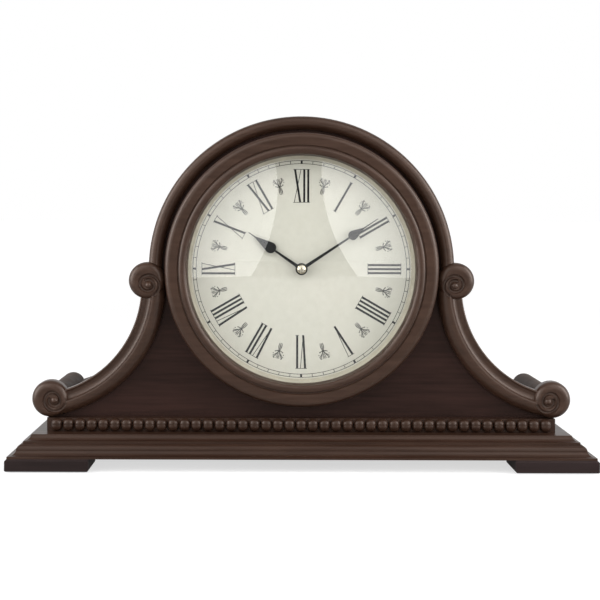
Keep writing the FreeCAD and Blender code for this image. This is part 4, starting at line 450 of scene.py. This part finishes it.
def hour_numerals(material):
    """Numerals with one serif along their tops and one along each run of letters that isn't pointed."""
    printed = DialPrint("hour_numerals", material)
    for hour, numeral in enumerate(NUMERALS):
        place = turned_to(radians(30 * hour))
        total = sum(LETTER_WIDTHS[kind] for kind in numeral) + LETTER_GAP * (len(numeral) - 1)
        left = -total / 2
        serif(printed, place, left - SERIF_REACH, -left + SERIF_REACH, NUMERAL_TOP)
        for run in numeral.replace("V", " V ").split(" "):
            run_width = sum(LETTER_WIDTHS[kind] for kind in run) + LETTER_GAP * (len(run) - 1)
            if run and run != "V":
                serif(printed, place, left - SERIF_REACH, left + run_width + SERIF_REACH, NUMERAL_FOOT)
            for kind in run:
                letter(printed, place, kind, left)
                left += LETTER_WIDTHS[kind] + LETTER_GAP
    printed.make()


def sprig(printed, place, side, across, outward, heading, length, bend, thickness):
    """A stroke that sets off at a heading, bends as it goes and thins towards both ends."""
    across *= side
    points = []
    widths = []
    for step in range(SPRIG_STEPS + 1):
        points.append(place(across, outward))
        swell = SPRIG_SWELL_SHARE * sin(pi * (step + 1) / (SPRIG_STEPS + 2))
        widths.append(thickness * (SPRIG_TIP_SHARE + swell))
        turned = side * (heading + bend * step / SPRIG_STEPS)
        across += sin(turned) * length / SPRIG_STEPS
        outward += cos(turned) * length / SPRIG_STEPS
    printed.ribbon(points, widths)


def dot(printed, place, side, across, outward, radius):
    angles = [2 * pi * step / DOT_STEPS for step in range(DOT_STEPS)]
    printed.polygon([place(side * across + radius * cos(angle), outward + radius * sin(angle))
                     for angle in angles])


def fleuron(printed, place):
    """A half-hour sprig: a bundled stem, a cross with leaf tips, and strokes that fan out and curl."""
    for values in MIDDLE_SPRIGS:
        sprig(printed, place, 1, *values)
    for values in MIDDLE_DOTS:
        dot(printed, place, 1, *values)
    for side in (-1, 1):
        for values in SIDE_SPRIGS:
            sprig(printed, place, side, *values)
        for values in SIDE_DOTS:
            dot(printed, place, side, *values)


def half_hour_fleurons(material):
    printed = DialPrint("half_hour_fleurons", material)
    for hour in range(12):
        fleuron(printed, turned_to(radians(30 * hour + 15)))
    printed.make()


def finish_nodes():
    finishes = {name: plain_finish(name, *values) for name, values in PLAIN_FINISHES.items()}
    finishes.update({name: wood(name, *values) for name, values in WOODS.items()})
    finishes.update({name: paint(name, *values) for name, values in PAINTS.items()})
    finishes["glass"] = clear_glass()
    finishes["coil_copper"] = copper_winding()
    finishes["board_laminate"] = board_laminate()
    finishes["battery_sleeve"] = battery_sleeve()
    for subpart in frame["record"]["subparts"]:
        node = frame["nodes"][subpart["node"]]
        node.data.materials.clear()
        # The plinth boards and bead strip take the darker wood with painted shade in place of their slot
        finish = SHADED_NODE_FINISHES.get(subpart["node"], subpart["material_slot"])
        node.data.materials.append(finishes[finish])
    return finishes


def aim(thing, target):
    thing.rotation_euler = (target - thing.location).to_track_quat("-Z", "Y").to_euler()


def softbox(name, azimuth, elevation, distance, width, height, power):
    data = bpy.data.lights.new(name, "AREA")
    data.shape = "ELLIPSE"
    data.size, data.size_y, data.energy = width, height, power
    made = bpy.data.objects.new(name, data)
    bpy.context.scene.collection.objects.link(made)
    level = distance * cos(radians(elevation))
    rise = distance * sin(radians(elevation))
    offset = Vector((level * sin(radians(azimuth)), -level * cos(radians(azimuth)), rise))
    made.location = LIGHT_TARGET + offset
    aim(made, LIGHT_TARGET)
    made.visible_camera = False


def backdrop_share(tree, place):
    """How much of the white backdrop a ray meets: all of it from the camera, what lies behind in gloss."""
    light_path = add_node(tree, "ShaderNodeLightPath")
    split = add_node(tree, "ShaderNodeSeparateXYZ")
    tree.links.new(place, split.inputs["Vector"])
    behind = add_node(tree, "ShaderNodeMapRange")
    behind.inputs["From Min"].default_value, behind.inputs["From Max"].default_value = BEHIND_RANGE
    tree.links.new(split.outputs["Y"], behind.inputs["Value"])
    mirrored = add_node(tree, "ShaderNodeMath", operation="ADD")
    tree.links.new(light_path.outputs["Is Glossy Ray"], mirrored.inputs[0])
    tree.links.new(light_path.outputs["Is Transmission Ray"], mirrored.inputs[1])
    share = add_node(tree, "ShaderNodeMath", operation="MULTIPLY_ADD", use_clamp=True)
    tree.links.new(mirrored.outputs["Value"], share.inputs[0])
    tree.links.new(behind.outputs["Result"], share.inputs[1])
    tree.links.new(light_path.outputs["Is Camera Ray"], share.inputs[2])
    return share.outputs["Value"]


def studio_world():
    world = bpy.data.worlds.new("studio")
    bpy.context.scene.world = world
    world.use_nodes = True
    tree = world.node_tree
    background = tree.nodes["Background"]
    background.inputs["Color"].default_value = (1.0, 1.0, 1.0, 1.0)
    direction = add_node(tree, "ShaderNodeTexCoord")
    strength = add_node(tree, "ShaderNodeMapRange")
    strength.inputs["To Min"].default_value = WORLD_LIGHT
    tree.links.new(backdrop_share(tree, direction.outputs["Generated"]), strength.inputs["Value"])
    tree.links.new(strength.outputs["Result"], background.inputs["Strength"])


def studio_floor():
    made, tree, shader = new_material("pale_floor")
    tone = noise(tree, FLOOR_TONE_SCALE, 2.0)
    tree.links.new(colour_ramp(tree, tone, zip(NOISE_RANGE, FLOOR_COLOURS)), shader.inputs["Base Color"])
    shader.inputs["Roughness"].default_value = FLOOR_ROUGHNESS
    shader.inputs["Specular IOR Level"].default_value = FLOOR_SPECULAR
    shader.inputs["Emission Color"].default_value = (1.0, 1.0, 1.0, 1.0)
    place = add_node(tree, "ShaderNodeTexCoord")
    distance = add_node(tree, "ShaderNodeVectorMath", operation="LENGTH")
    glow = add_node(tree, "ShaderNodeMapRange")
    glow.inputs["From Max"].default_value = GLOW_REACH
    glow.inputs["To Min"].default_value = NEAR_GLOW
    glow.inputs["To Max"].default_value = FAR_GLOW
    tree.links.new(place.outputs["Object"], distance.inputs[0])
    tree.links.new(distance.outputs["Value"], glow.inputs["Value"])
    seen = add_node(tree, "ShaderNodeMath", operation="MULTIPLY")
    tree.links.new(glow.outputs["Result"], seen.inputs[0])
    tree.links.new(backdrop_share(tree, place.outputs["Object"]), seen.inputs[1])
    tree.links.new(seen.outputs["Value"], shader.inputs["Emission Strength"])
    mesh = bpy.data.meshes.new("floor")
    half = FLOOR_SIZE / 2
    corners = [(-half, -half, 0), (half, -half, 0), (half, half, 0), (-half, half, 0)]
    mesh.from_pydata(corners, [], [(0, 1, 2, 3)])
    mesh.materials.append(made)
    floor = bpy.data.objects.new("floor", mesh)
    bpy.context.scene.collection.objects.link(floor)


def photo_camera():
    data = bpy.data.cameras.new("photo_camera")
    data.lens, data.sensor_width = LENS, SENSOR
    data.shift_x, data.shift_y = SHIFT
    camera = bpy.data.objects.new("photo_camera", data)
    bpy.context.scene.collection.objects.link(camera)
    camera.location = CAMERA_PLACE
    level = Matrix.Rotation(radians(90), 4, "X")
    camera.rotation_euler = (level @ Matrix.Rotation(radians(CAMERA_ROLL), 4, "Z")).to_euler()
    bpy.context.scene.camera = camera


finishes_made = finish_nodes()
minute_track(finishes_made["dial_ink"])
hour_numerals(finishes_made["dial_ink"])
half_hour_fleurons(finishes_made["fleuron_ink"])
for box_name, values in SOFTBOXES.items():
    softbox(box_name, *values)
studio_world()
studio_floor()
photo_camera()
bpy.context.scene.view_settings.view_transform = "Standard"
